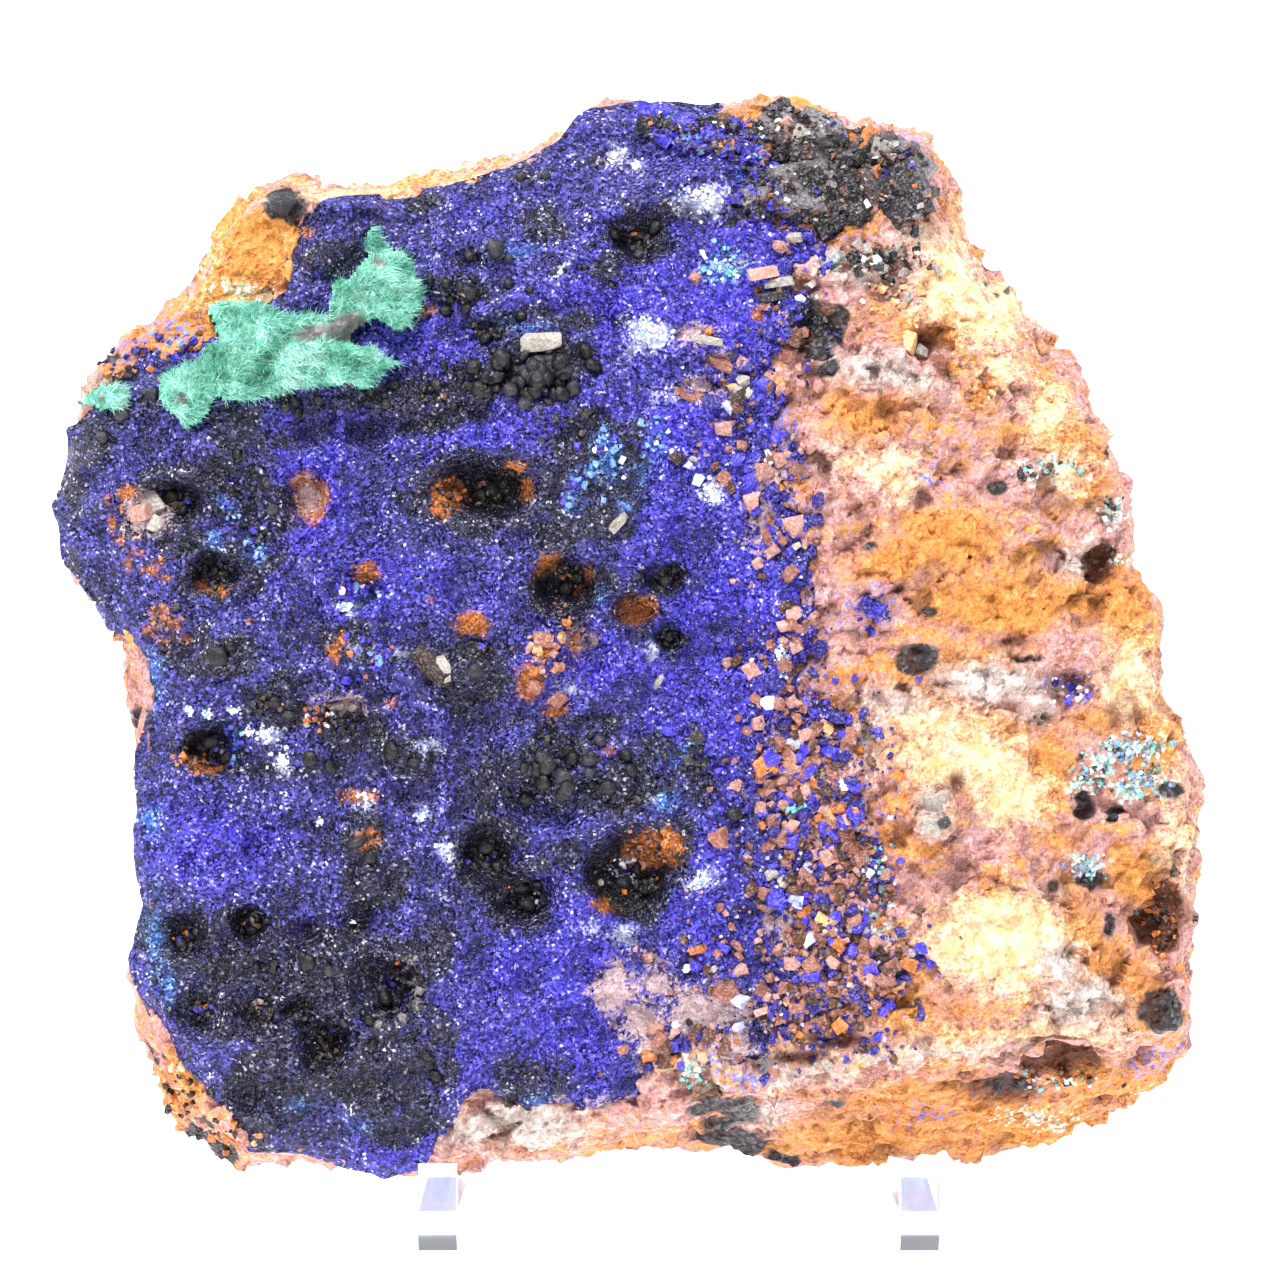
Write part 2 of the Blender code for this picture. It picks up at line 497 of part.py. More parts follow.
def prism(bm, profile, axis, start, thickness):
    """Add a closed prism: a profile in the other two axes, pulled out along one."""
    verts = []
    for first, second in profile:
        place = [first, second]
        place.insert(axis, start)
        verts.append(bm.verts.new(place))
    face = bm.faces.new(verts)
    grown = bmesh.ops.extrude_face_region(bm, geom=[face])["geom"]
    moved = [item for item in grown if isinstance(item, bmesh.types.BMVert)]
    pull = Vector((0.0, 0.0, 0.0))
    pull[axis] = thickness
    bmesh.ops.translate(bm, vec=pull, verts=moved)
    bmesh.ops.recalc_face_normals(bm, faces=bm.faces)


def leaned(bm):
    """Lean forms drawn upright back by the easel's angle."""
    turn = Matrix.Rotation(math.radians(-LEAN), 3, "X")
    bmesh.ops.rotate(bm, matrix=turn, cent=(0.0, 0.0, 0.0), verts=bm.verts)


def make_stand(sheet_depth, shelf):
    """The easel: a splayed A of clear sheet with two hooks, toes and a prop behind."""
    half = LEG_WIDTH / 2.0 / math.cos(math.radians(LEG_SPLAY))
    foot, bar_top, bar_bottom = -66.0, -8.0, -12.0
    head = leg_offset(STAND_HEAD) + half + 1.6
    profile = [
        (STAND_CENTRE - leg_offset(foot) - half, foot), (STAND_CENTRE - head, STAND_HEAD),
        (STAND_CENTRE + head, STAND_HEAD), (STAND_CENTRE + leg_offset(foot) + half, foot),
        (STAND_CENTRE + leg_offset(foot) - half, foot),
        (STAND_CENTRE + leg_offset(bar_bottom) - half, bar_bottom),
        (STAND_CENTRE - leg_offset(bar_bottom) + half, bar_bottom),
        (STAND_CENTRE - leg_offset(foot) + half, foot),
    ]
    bm = bmesh.new()
    prism(bm, profile, 1, sheet_depth, SHEET_THICKNESS)
    leaned(bm)
    mesh = bpy.data.meshes.new("stand")
    bm.to_mesh(mesh)
    bm.free()

    bm = bmesh.new()
    window = [
        (STAND_CENTRE - leg_offset(bar_top) + half, bar_top),
        (STAND_CENTRE - leg_offset(13.0) + half, 13.0),
        (STAND_CENTRE + leg_offset(13.0) - half, 13.0),
        (STAND_CENTRE + leg_offset(bar_top) - half, bar_top),
    ]
    prism(bm, window, 1, sheet_depth - 2.0, SHEET_THICKNESS + 4.0)
    leaned(bm)
    mesh = cut(mesh, bm)

    for side in (-1.0, 1.0):
        middle = STAND_CENTRE + side * (leg_offset(shelf) - 0.3)
        front, tip = -HOOK_REACH, shelf + HOOK_TIP
        hook = [
            (sheet_depth + 1.2, shelf), (front + LEG_WIDTH, shelf),
            (front + LEG_WIDTH - 0.3, tip - 0.7), (front + LEG_WIDTH - 0.9, tip),
            (front + 0.7, tip), (front, tip - 0.7),
            (front, shelf - 1.2), (front + 1.2, shelf - LEG_WIDTH), (sheet_depth + 1.2, shelf - LEG_WIDTH),
        ]
        bm = bmesh.new()
        prism(bm, hook, 0, middle - LEG_WIDTH / 2.0, LEG_WIDTH)
        leaned(bm)
        mesh = fused(mesh, bm)

    lean = math.radians(LEAN)
    sheet_middle = sheet_depth + SHEET_THICKNESS / 2.0
    foot_height = (GROUND_LEVEL + sheet_middle * math.sin(lean)) / math.cos(lean)
    foot_y = sheet_middle * math.cos(lean) + foot_height * math.sin(lean)
    for side in (-1.0, 1.0):
        middle = STAND_CENTRE + side * leg_offset(foot_height)
        toe = [
            (foot_y + 1.6, GROUND_LEVEL - 2.0), (foot_y + 1.2, GROUND_LEVEL + 2.6),
            (foot_y - 8.0, GROUND_LEVEL + 2.0), (foot_y - 9.2, GROUND_LEVEL + 1.0),
            (foot_y - 9.2, GROUND_LEVEL - 2.0),
        ]
        bm = bmesh.new()
        prism(bm, toe, 0, middle - LEG_WIDTH / 2.0 - 0.1, LEG_WIDTH + 0.2)
        mesh = fused(mesh, bm)

    top_y = sheet_middle * math.cos(lean) + (STAND_HEAD - 6.0) * math.sin(lean)
    top_z = -sheet_middle * math.sin(lean) + (STAND_HEAD - 6.0) * math.cos(lean)
    prop = [
        (top_y - 0.4, top_z), (top_y + 1.8, top_z + 1.4), (PROP_REACH + 2.0, GROUND_LEVEL - 3.0),
        (PROP_REACH - 1.2, GROUND_LEVEL - 3.0),
    ]
    bm = bmesh.new()
    prism(bm, prop, 0, STAND_CENTRE - 3.0, 6.0)
    mesh = fused(mesh, bm)

    bm = bmesh.new()
    bmesh.ops.create_cube(bm, size=200.0)
    bmesh.ops.translate(bm, vec=(0.0, 0.0, GROUND_LEVEL - 100.0), verts=bm.verts)
    return cut(mesh, bm)


def finish(name, colour, roughness, alpha=1.0):
    """A plain Principled material."""
    material = bpy.data.materials.new(name)
    material.use_nodes = True
    shader = material.node_tree.nodes["Principled BSDF"]
    shader.inputs["Base Color"].default_value = (*colour, 1.0)
    shader.inputs["Roughness"].default_value = roughness
    shader.inputs["Metallic"].default_value = 0.0
    shader.inputs["Alpha"].default_value = alpha
    return material


def place(name, mesh, material, parent):
    """Make a solid's object, in metres, under its parent."""
    mesh.transform(Matrix.Scale(MM, 4))
    mesh.materials.clear()
    mesh.materials.append(material)
    solid = bpy.data.objects.new(name, mesh)
    bpy.context.scene.collection.objects.link(solid)
    solid.parent = parent
    return solid


def holder(name, parent=None):
    """An empty that carries others."""
    empty = bpy.data.objects.new(name, None)
    bpy.context.scene.collection.objects.link(empty)
    empty.parent = parent
    return empty


def build():
    """Make every solid and set the whole on the ground."""
    rock = add_rock_grains(make_rock())
    crust = make_crust(rock)
    ground = surface_of(rock, crust)
    malachite = make_malachite(MALACHITE_RIM, MALACHITE_FACES, ground)
    edge_malachite = make_malachite(EDGE_MALACHITE_RIM, EDGE_MALACHITE_FACES, ground)
    for mesh in (rock, crust, malachite, edge_malachite):
        seen_true(mesh)

    sheet_depth = max(vert.co.y for vert in rock.vertices) + 0.3
    reach = leg_offset(-36.0)
    shelf = min(
        lowest_between(rock, middle - 1.5, middle + 1.5)
        for middle in (STAND_CENTRE - reach, STAND_CENTRE + reach)
    ) - 0.3
    stand = make_stand(sheet_depth, shelf)

    root = holder("specimen")
    lean = holder("lean", root)
    lean.rotation_euler = (math.radians(-LEAN), 0.0, 0.0)
    solids = [
        place("matrix_rock", rock, finish("limonite_matrix", (0.60, 0.33, 0.16), 0.8), lean),
        place("azurite_crust", crust, finish("azurite_druse", (0.04, 0.03, 0.38), 0.45), lean),
        place("malachite_mat", malachite, finish("malachite_fibre", (0.10, 0.52, 0.34), 0.6), lean),
        place("malachite_rim_mat", edge_malachite, finish("malachite_rim_fibre", (0.10, 0.52, 0.34), 0.6), lean),
        place("display_stand", stand, finish("clear_acrylic", (0.90, 0.94, 0.97), 0.05, 0.35), root),
    ]
    bpy.context.view_layer.update()
    corners = np.array([solid.matrix_world @ vert.co for solid in solids for vert in solid.data.vertices])
    low, high = corners.min(axis=0), corners.max(axis=0)
    root.location = (-(low[0] + high[0]) / 2.0, -(low[1] + high[1]) / 2.0, -low[2])


for leftover in list(bpy.data.objects):
    bpy.data.objects.remove(leftover)
build()
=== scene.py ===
import math

import bmesh
import bpy
import numpy as np
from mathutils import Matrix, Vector, noise
from mathutils.bvhtree import BVHTree

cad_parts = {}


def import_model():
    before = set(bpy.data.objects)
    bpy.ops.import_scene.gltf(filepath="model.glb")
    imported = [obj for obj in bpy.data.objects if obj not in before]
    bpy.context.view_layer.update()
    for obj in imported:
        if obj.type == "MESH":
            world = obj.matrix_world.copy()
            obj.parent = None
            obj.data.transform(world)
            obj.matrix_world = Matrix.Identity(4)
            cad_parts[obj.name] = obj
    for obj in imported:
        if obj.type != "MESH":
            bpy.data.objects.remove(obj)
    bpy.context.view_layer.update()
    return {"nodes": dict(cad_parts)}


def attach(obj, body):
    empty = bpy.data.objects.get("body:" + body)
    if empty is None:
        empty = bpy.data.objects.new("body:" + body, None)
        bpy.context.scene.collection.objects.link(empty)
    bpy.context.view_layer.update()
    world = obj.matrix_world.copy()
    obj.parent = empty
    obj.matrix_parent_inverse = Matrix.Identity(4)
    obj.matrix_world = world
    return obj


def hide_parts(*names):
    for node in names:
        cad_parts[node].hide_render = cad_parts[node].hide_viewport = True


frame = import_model()


# Matrix rock: a broken lump of pink, iron-stained and quartz-veined rock, the body of the
# specimen. It is taken from the CAD solid, given a finer skin and broken-stone relief, and
# the crust and the malachite grow on its front.
#
# All sizes are millimetres in the sight frame of the stone: u to the right, w up the face
# and depth into the stone. Lists of oval areas hold u, w, half width, half height and, for
# the ovals that are not level, the turn in degrees.

# How far away the stone is seen from, how far it leans back, and where its middle is
SIGHT_DISTANCE = 300.0
LEAN = math.radians(18.0)
SIGHT_MIDDLE = np.array((-0.034, -19.591, 58.0))
ROCK_SKIN = 0.56
ROCK_SMOOTHINGS = 2
# The finer skin of the bare face runs this far under the crust
CLOSE_UP_OVERLAP = 1.2
# Rock within this depth behind the even face belongs to the face
FACE_REACH = 1.7
CRUST_BED = 2.0
# Takes every coloured area off the sides that face away
UNSEEN = -6.0

# Outlines of the whole face and of the crust on it: u, w
FRONT_RIM = [
    (-3.0, 33.4), (0.0, 33.5), (3.8, 33.3), (7.2, 33.6), (10.3, 33.8), (12.2, 32.6), (15.0, 32.0),
    (17.6, 31.1), (18.6, 28.8), (18.2, 25.9), (19.7, 22.8), (22.5, 19.7), (25.0, 16.4),
    (27.2, 13.9), (28.9, 12.4), (30.0, 9.4), (30.2, 6.9), (30.8, 3.8), (32.1, 1.2), (32.4, -0.6),
    (31.8, -3.8), (33.8, -6.1), (34.6, -8.2), (34.5, -11.2), (33.9, -14.2), (34.1, -16.6),
    (33.9, -20.0), (34.4, -22.8), (34.0, -24.8), (29.4, -25.0), (25.0, -24.8), (20.6, -25.3),
    (16.2, -26.4), (11.9, -27.2), (7.5, -28.0), (3.8, -28.9), (0.6, -29.6), (-2.5, -30.4),
    (-5.0, -31.4), (-8.1, -31.9), (-11.2, -32.1), (-13.4, -32.7), (-15.9, -33.4), (-18.8, -32.7),
    (-21.2, -32.0), (-24.1, -31.9), (-25.9, -30.5), (-27.8, -28.1), (-29.4, -26.1),
    (-30.6, -23.8), (-31.5, -21.6), (-31.8, -19.9), (-30.8, -16.4), (-31.5, -13.6),
    (-31.2, -10.0), (-31.2, -7.2), (-30.9, -3.8), (-31.4, -0.9), (-33.0, 0.9), (-34.4, 2.9),
    (-35.8, 5.0), (-36.4, 8.4), (-35.8, 10.6), (-35.5, 13.1), (-35.0, 15.1), (-33.4, 16.8),
    (-32.2, 18.4), (-29.4, 20.1), (-27.2, 22.5), (-25.9, 25.0), (-24.1, 27.1), (-22.2, 28.1),
    (-19.4, 27.6), (-15.0, 28.0), (-11.2, 28.5), (-7.8, 29.5), (-5.0, 31.1), (-3.5, 32.9),
]
CRUST_RIM = [
    (-3.5, 33.0), (0.0, 33.6), (3.8, 33.4), (6.2, 33.4), (7.0, 31.9), (6.8, 30.0), (8.4, 29.7),
    (8.8, 25.9), (12.2, 25.0), (11.4, 23.6), (10.0, 22.2), (12.8, 21.2), (12.8, 19.1),
    (10.0, 18.1), (9.4, 16.2), (10.0, 12.5), (9.7, 10.0), (10.9, 7.5), (11.2, 3.8), (10.8, 1.2),
    (11.6, -0.9), (10.0, -2.8), (12.6, -3.9), (13.1, -5.9), (12.4, -8.8), (13.1, -11.2),
    (15.6, -13.1), (15.8, -15.9), (14.2, -17.8), (13.1, -20.3), (10.0, -22.2), (8.8, -25.6),
    (5.9, -27.8), (3.4, -25.0), (0.0, -27.2), (0.0, -28.8), (-2.5, -29.6), (-4.1, -29.1),
    (-7.0, -29.4), (-8.2, -28.5), (-10.0, -27.8), (-11.1, -28.5), (-11.8, -30.1), (-12.6, -31.6),
    (-13.8, -32.9), (-15.9, -33.6), (-18.8, -32.8), (-21.4, -32.0), (-24.4, -31.9),
    (-25.5, -30.0), (-27.4, -27.8), (-29.1, -25.6), (-30.5, -23.4), (-31.6, -21.6),
    (-31.9, -19.9), (-31.0, -16.4), (-31.6, -13.6), (-31.4, -10.0), (-31.4, -7.2), (-30.6, -3.8),
    (-30.5, -1.2), (-31.6, 0.0), (-33.1, 0.8), (-34.5, 2.9), (-36.0, 5.0), (-36.6, 8.4),
    (-35.9, 10.6), (-35.7, 13.1), (-34.8, 13.8), (-33.0, 15.9), (-30.6, 18.0), (-28.8, 17.5),
    (-27.2, 18.4), (-21.9, 21.9), (-22.0, 24.1), (-21.2, 26.1), (-19.7, 27.5), (-15.0, 27.9),
    (-11.2, 28.6), (-7.8, 29.6), (-5.1, 31.2),
]

# Swellings (+) and hollows (-) of the bare rock: u, w, half width, half height, height
ROCK_FORMS = [
    (22.5, -18.8, 4.8, 4.0, 1.3), (20.0, -7.5, 5.0, 4.0, 0.6), (15.3, 16.4, 3.6, 1.6, 0.8),
    (15.9, 10.3, 2.6, 2.4, 0.4), (17.4, -1.1, 1.5, 1.5, 0.45), (17.8, 18.4, 1.7, 1.2, -1.3),
    (21.9, 15.9, 1.5, 1.4, 0.8), (28.8, 4.7, 1.5, 1.3, -1.4), (29.1, 11.6, 0.9, 0.9, -0.8),
    (25.3, 10.0, 2.0, 1.2, 0.4), (26.9, -3.4, 1.7, 1.9, -1.0), (29.4, -8.8, 2.8, 2.9, 0.5),
    (27.8, -10.3, 0.8, 0.9, -0.9), (29.5, -10.9, 0.8, 0.8, -0.9), (18.1, -10.9, 1.5, 1.4, 0.9),
    (28.1, -15.0, 1.2, 0.9, -0.6), (32.6, -17.5, 1.6, 2.4, -1.7), (32.5, -23.1, 1.6, 1.4, 0.6),
    (15.6, -20.8, 1.3, 1.3, 0.7), (-7.8, -30.3, 3.6, 1.6, 0.4), (-26.9, -30.6, 1.3, 1.0, 0.9),
    (-22.4, 27.2, 1.5, 1.1, 1.0), (-25.4, 23.6, 2.6, 3.0, -0.6), (14.4, 2.2, 1.4, 1.4, 0.7),
    (29.1, -9.9, 1.0, 0.6, -0.5), (26.5, -28.0, 3.2, 1.1, -1.0), (17.8, -10.3, 0.9, 0.9, -0.5),
]
# Oval areas of the bare rock, by the mineral that colours them; the cream areas are partly cream
# stone and partly painted highlight along the upper rims
LIMONITE = [
    (-15.0, 28.5, 7.5, 0.8, -8), (22.5, -30.2, 11.9, 2.1, -8), (29.4, -27.4, 4.4, 1.6, -18),
    (-1.2, -31.9, 4.4, 0.6), (15.0, -31.2, 6.9, 1.6), (23.1, -29.4, 5.6, 1.5, -12),
    (7.5, -31.8, 3.8, 0.6), (27.5, -28.1, 2.5, 1.0, -15), (20.6, -31.9, 3.8, 0.9),
    (13.8, 13.8, 2.1, 1.4), (19.4, 6.2, 4.0, 2.2), (22.5, 2.4, 5.6, 2.2), (16.2, 5.0, 3.1, 1.5),
    (27.8, 2.4, 3.5, 1.8), (30.0, 2.5, 1.8, 2.5), (26.9, 12.5, 2.5, 1.1), (28.2, 9.4, 1.2, 1.1),
    (12.4, 14.7, 1.1, 1.6), (23.1, 13.1, 1.2, 0.8), (21.6, 15.9, 1.5, 0.8, 30),
    (21.2, -1.2, 2.9, 1.0), (18.1, -3.1, 1.9, 0.6), (32.0, -6.4, 1.9, 2.9),
    (31.2, -14.4, 2.1, 2.2), (25.6, -7.6, 1.5, 3.0), (28.8, -5.1, 2.5, 0.9),
    (19.5, -9.4, 1.2, 0.8, -45), (27.6, -18.8, 1.5, 3.5), (29.5, -21.2, 2.5, 2.5),
    (31.4, -22.0, 1.2, 1.9), (16.2, -23.1, 2.5, 1.4), (14.4, -23.2, 1.6, 1.1),
    (20.1, -23.1, 1.9, 0.7), (26.2, -12.6, 1.2, 0.9), (15.0, -21.9, 2.2, 0.6),
    (16.6, 19.7, 1.4, 1.0), (15.0, 20.6, 1.1, 0.6), (-24.4, 23.8, 3.8, 3.8),
    (-26.6, 20.0, 3.8, 2.5), (-21.2, 21.2, 2.5, 0.9), (-30.6, 18.8, 3.1, 1.6, 20),
    (-29.4, -27.8, 2.2, 3.1, -40), (16.6, 15.0, 1.1, 0.8), (30.6, 0.0, 1.4, 1.9),
]
BROWN = [
    (17.8, 18.4, 0.8, 0.9), (18.9, 16.8, 0.9, 0.6, -45), (28.8, 4.7, 1.1, 1.1),
    (26.9, -2.4, 1.2, 0.4), (26.2, -26.0, 3.1, 1.1), (19.8, -9.2, 0.5, 0.8),
    (32.7, -17.5, 1.4, 2.1), (10.6, -1.2, 0.9, 0.5), (9.4, 2.5, 0.6, 0.3, 10),
    (23.1, 0.0, 0.8, 0.3, 20), (20.0, 10.6, 0.4, 0.3), (16.2, 3.1, 0.4, 0.3),
    (12.5, -25.0, 1.9, 0.5), (10.0, -26.2, 1.6, 0.5), (22.5, -28.1, 2.5, 0.8),
    (14.4, -13.8, 0.6, 0.8), (8.8, 15.0, 0.9, 0.5),
]
# Cream areas: cream stone, and painted highlight where light falls on the upper rims
CREAM = [
    (21.6, 20.0, 2.2, 2.1, 30), (25.3, 14.4, 1.4, 1.6), (22.8, 16.9, 1.2, 1.0),
    (26.8, 10.6, 0.9, 1.2), (32.5, -3.8, 0.6, 1.0), (-25.2, 29.2, 1.6, 0.8, -30),
    (-17.5, 27.8, 2.5, 0.5), (21.6, 27.2, 1.6, 3.1, -25), (-11.9, 29.2, 3.1, 0.5, -8),
    (-27.8, 25.2, 0.8, 1.6, 30), (15.9, 10.3, 1.8, 1.3), (22.5, -18.8, 4.8, 3.2),
    (20.1, -7.5, 3.8, 2.0), (23.1, -9.5, 2.5, 1.8), (18.1, -5.1, 3.1, 1.1),
    (19.4, 22.5, 2.2, 2.5), (22.5, 20.9, 2.1, 1.6), (17.6, 25.0, 1.2, 0.8),
    (25.6, -24.5, 3.8, 0.6), (30.6, -2.6, 1.5, 2.2), (33.5, -12.2, 0.6, 2.5),
    (5.0, -26.0, 5.0, 0.5, 5), (16.6, -25.8, 5.6, 0.6, 12), (-23.2, 21.2, 1.5, 0.3),
    (13.1, 11.2, 0.9, 0.8),
]
QUARTZ = [
    (13.9, 23.4, 2.9, 1.2), (15.3, 16.6, 3.5, 1.2, -15), (21.9, -2.6, 3.8, 1.6),
    (16.2, -3.9, 2.5, 0.8), (27.5, 4.9, 1.5, 1.1), (27.5, -22.5, 2.9, 1.8),
    (26.4, -20.1, 1.6, 1.2), (-7.8, -30.3, 4.5, 1.6), (20.3, -25.8, 3.5, 0.5),
    (16.6, 25.3, 1.2, 0.6), (25.0, -3.8, 1.0, 1.4), (18.4, -11.2, 0.9, 1.1),
    (18.4, -10.0, 1.2, 0.8), (13.1, -11.2, 1.0, 1.6), (14.2, -6.2, 0.8, 1.5),
    (7.2, 22.2, 2.1, 0.6), (9.4, -27.2, 3.1, 0.6, -5), (-5.0, -30.6, 1.6, 1.0),
    (7.8, -29.5, 1.6, 0.6),
]
INK = [
    (17.4, -1.1, 1.4, 1.2), (15.3, -20.6, 1.2, 1.1), (32.5, -23.1, 1.6, 1.4),
    (22.4, 9.4, 0.6, 0.5), (29.1, 11.6, 0.2, 0.5), (27.8, -10.3, 0.5, 0.9),
    (29.5, -10.9, 0.6, 0.7), (33.1, -9.4, 0.8, 0.5), (28.1, -15.1, 0.9, 0.6),
    (25.9, -15.3, 0.4, 0.4), (29.4, -17.8, 0.4, 0.8), (21.6, 22.3, 0.2, 0.2),
    (22.2, 21.5, 0.2, 0.3), (23.0, 21.8, 0.2, 0.2), (5.4, -29.4, 2.4, 0.8),
    (5.6, -31.1, 2.8, 0.7, -5), (8.9, -32.5, 1.8, 0.4, -10), (12.0, -29.1, 0.8, 0.4, 10),
    (14.2, -32.7, 1.2, 0.2), (23.1, -27.8, 1.6, 0.6), (11.2, 19.7, 1.9, 1.8),
    (11.6, 17.0, 0.8, 0.5), (-22.2, 27.1, 1.4, 1.0), (-27.2, -30.6, 1.2, 0.9),
    (-30.5, -25.8, 0.8, 0.6, -40), (-25.9, -31.9, 1.0, 0.8), (-33.0, 17.6, 0.6, 0.4, 40),
    (-30.9, -5.0, 0.5, 0.8), (6.1, -26.2, 0.3, 0.2), (5.9, -25.8, 0.5, 0.2),
    (24.4, -1.2, 1.0, 0.2), (18.1, 1.8, 0.5, 0.3), (14.4, 5.9, 0.5, 0.3),
]
BLUE = [
    (14.4, 2.1, 1.2, 1.0), (11.9, -22.1, 0.6, 0.4), (18.2, 10.2, 0.5, 0.3),
    (26.9, -3.1, 0.7, 0.4), (10.0, -21.9, 0.6, 0.4), (9.4, -3.8, 1.6, 2.5), (8.8, -8.8, 1.9, 3.8),
    (13.1, -13.8, 2.2, 3.1), (9.4, -14.4, 3.1, 3.8), (6.2, -23.1, 2.5, 3.8),
    (7.5, -19.4, 3.1, 1.9), (8.1, 13.1, 1.6, 1.9), (9.4, 5.0, 1.0, 3.8), (16.2, 30.9, 0.9, 0.5),
    (13.8, 29.4, 0.5, 0.3), (17.5, 27.8, 0.4, 0.2), (-31.9, 18.4, 1.6, 0.8),
    (-28.1, 19.1, 0.9, 0.5), (-29.7, 19.7, 1.6, 0.5), (15.9, -26.2, 0.5, 0.2),
    (6.6, -27.2, 1.2, 0.9), (11.2, 25.0, 1.4, 0.4), (31.9, -26.2, 0.8, 0.2, 20),
    (18.1, -29.5, 0.6, 0.2),
]
MINT = [
    (25.3, 10.8, 1.8, 0.4, -5), (25.3, 9.7, 1.0, 0.3), (29.5, 8.0, 0.8, 0.8),
    (30.0, 5.0, 0.5, 0.6), (30.9, -6.6, 1.5, 1.0), (29.1, -7.8, 1.1, 0.8, 30),
    (30.6, -9.1, 1.4, 1.0), (32.5, -9.2, 0.9, 0.6), (27.6, -9.1, 0.8, 0.9, 30),
    (27.8, -14.1, 1.2, 0.7), (9.7, -10.8, 0.9, 0.6), (12.5, -14.6, 0.5, 0.3),
    (15.0, -16.6, 0.9, 2.1), (3.1, -26.8, 0.8, 0.9), (4.7, -28.0, 0.8, 0.3),
    (23.9, -27.6, 0.7, 0.4), (24.5, -29.8, 1.8, 0.5), (31.4, -28.9, 1.8, 0.4, 35),
    (-24.7, 21.9, 1.6, 0.5), (-29.7, -27.0, 0.4, 0.3), (15.0, -18.4, 1.0, 0.6),
    (26.2, -30.0, 0.9, 0.4), (12.5, 23.6, 1.6, 0.5), (7.5, -26.4, 0.9, 0.4),
]
ROCK_AREAS = {
    "limonite": LIMONITE, "brown": BROWN, "cream": CREAM, "quartz": QUARTZ, "ink": INK,
    "blue": BLUE, "mint": MINT}


def sight(places):
    """World places in metres as sight places in millimetres."""
    x, y, z = (places * 1000.0 - SIGHT_MIDDLE).T
    depth = y * math.cos(LEAN) - z * math.sin(LEAN)
    rise = y * math.sin(LEAN) + z * math.cos(LEAN)
    spread = 1.0 + depth / SIGHT_DISTANCE
    return np.column_stack((x / spread, depth, rise / spread))


def world(places):
    """Sight places in millimetres as world places in metres."""
    u, depth, w = places.T
    spread = 1.0 + depth / SIGHT_DISTANCE
    y = depth * math.cos(LEAN) + w * spread * math.sin(LEAN)
    z = w * spread * math.cos(LEAN) - depth * math.sin(LEAN)
    return (np.column_stack((u * spread, y, z)) + SIGHT_MIDDLE) / 1000.0


def eased(value):
    """0 to 1 with soft ends as value goes from 0 to 1."""
    clipped = np.clip(value, 0.0, 1.0)
    return clipped * clipped * (3.0 - 2.0 * clipped)


def dice(cells, seed):
    """One steady random number from 0 to 1 for each whole-number cell."""
    x, y, z = cells.T
    mixed = (x * 73856093) ^ (y * 19349663) ^ (z * 83492791) ^ (seed * 265443576)
    mixed = (mixed ^ (mixed >> 13)) * 1274126177
    mixed = (mixed ^ (mixed >> 15)) * 668265263
    return ((mixed ^ (mixed >> 16)) & 0xFFFF) / 65535.0


def ripple(places, size, seed):
    """Soft unevenness from -1 to 1, with swells about size across."""
    spots = places / size + seed * 7.31
    low = np.floor(spots).astype(np.int64)
    share = eased(spots - low)
    total = np.zeros(len(places))
    for corner in np.ndindex(2, 2, 2):
        weight = np.prod(np.where(corner, share, 1.0 - share), axis=1)
        total += weight * dice(low + np.array(corner), seed)
    return 2.0 * total - 1.0


def rippled(places, *layers):
    """Several ripples added up, each given by its height, size and seed."""
    return sum(height * ripple(places, size, seed) for height, size, seed in layers)


def turned(across, up, degrees):
    """Distances along and across a direction that is turned by so many degrees."""
    c, s = math.cos(math.radians(degrees)), math.sin(math.radians(degrees))
    return across * c + up * s, up * c - across * s


def nearness(places, ovals):
    """Millimetres inside (+) or outside (-) the nearest of the ovals, whose edges waver."""
    shift_u = rippled(places, (0.45, 0.9, 3), (0.6, 2.2, 4))
    shift_w = rippled(places, (0.45, 0.9, 5), (0.6, 2.2, 6))
    best = np.full(len(places), -9.0)
    for u, w, wide, high, *turn in ovals:
        swing = min(1.0, 0.5 * min(wide, high))
        along, across = turned(
            places[:, 0] + swing * shift_u - u, places[:, 2] + swing * shift_w - w,
            turn[0] if turn else 0.0)
        reach = np.hypot(along / wide, across / high)
        best = np.maximum(best, (1.0 - reach) * min(wide, high))
    return best


def rim_inset(places, rim):
    """Distance inside (+) or outside (-) a closed rim."""
    u, w = places[:, 0], places[:, 2]
    nearest = np.full(len(places), 99.0)
    inside = np.zeros(len(places), dtype=bool)
    for start, end in zip(rim, rim[1:] + rim[:1]):
        du, dw = end[0] - start[0], end[1] - start[1]
        share = ((u - start[0]) * du + (w - start[1]) * dw) / (du * du + dw * dw)
        share = np.clip(share, 0.0, 1.0)
        gap = np.hypot(u - start[0] - share * du, w - start[1] - share * dw)
        nearest = np.minimum(nearest, gap)
        if dw:
            crosses = (start[1] > w) != (end[1] > w)
            inside ^= crosses & (u < start[0] + (w - start[1]) * du / dw)
    return np.where(inside, nearest, -nearest)


def torn_inset(places):
    """Distance inside the crust's real edge, which is torn, most of all down its right side."""
    tear = rippled(places * (1.0, 0.0, 1.0), (0.35, 1.6, 31), (0.2, 0.6, 32))
    right_side = eased((places[:, 0] - 4.0) / 4.0)
    tear = tear * (0.35 + 3.4 * right_side)
    return rim_inset(places, CRUST_RIM) + tear + 0.1 - 0.45 * right_side


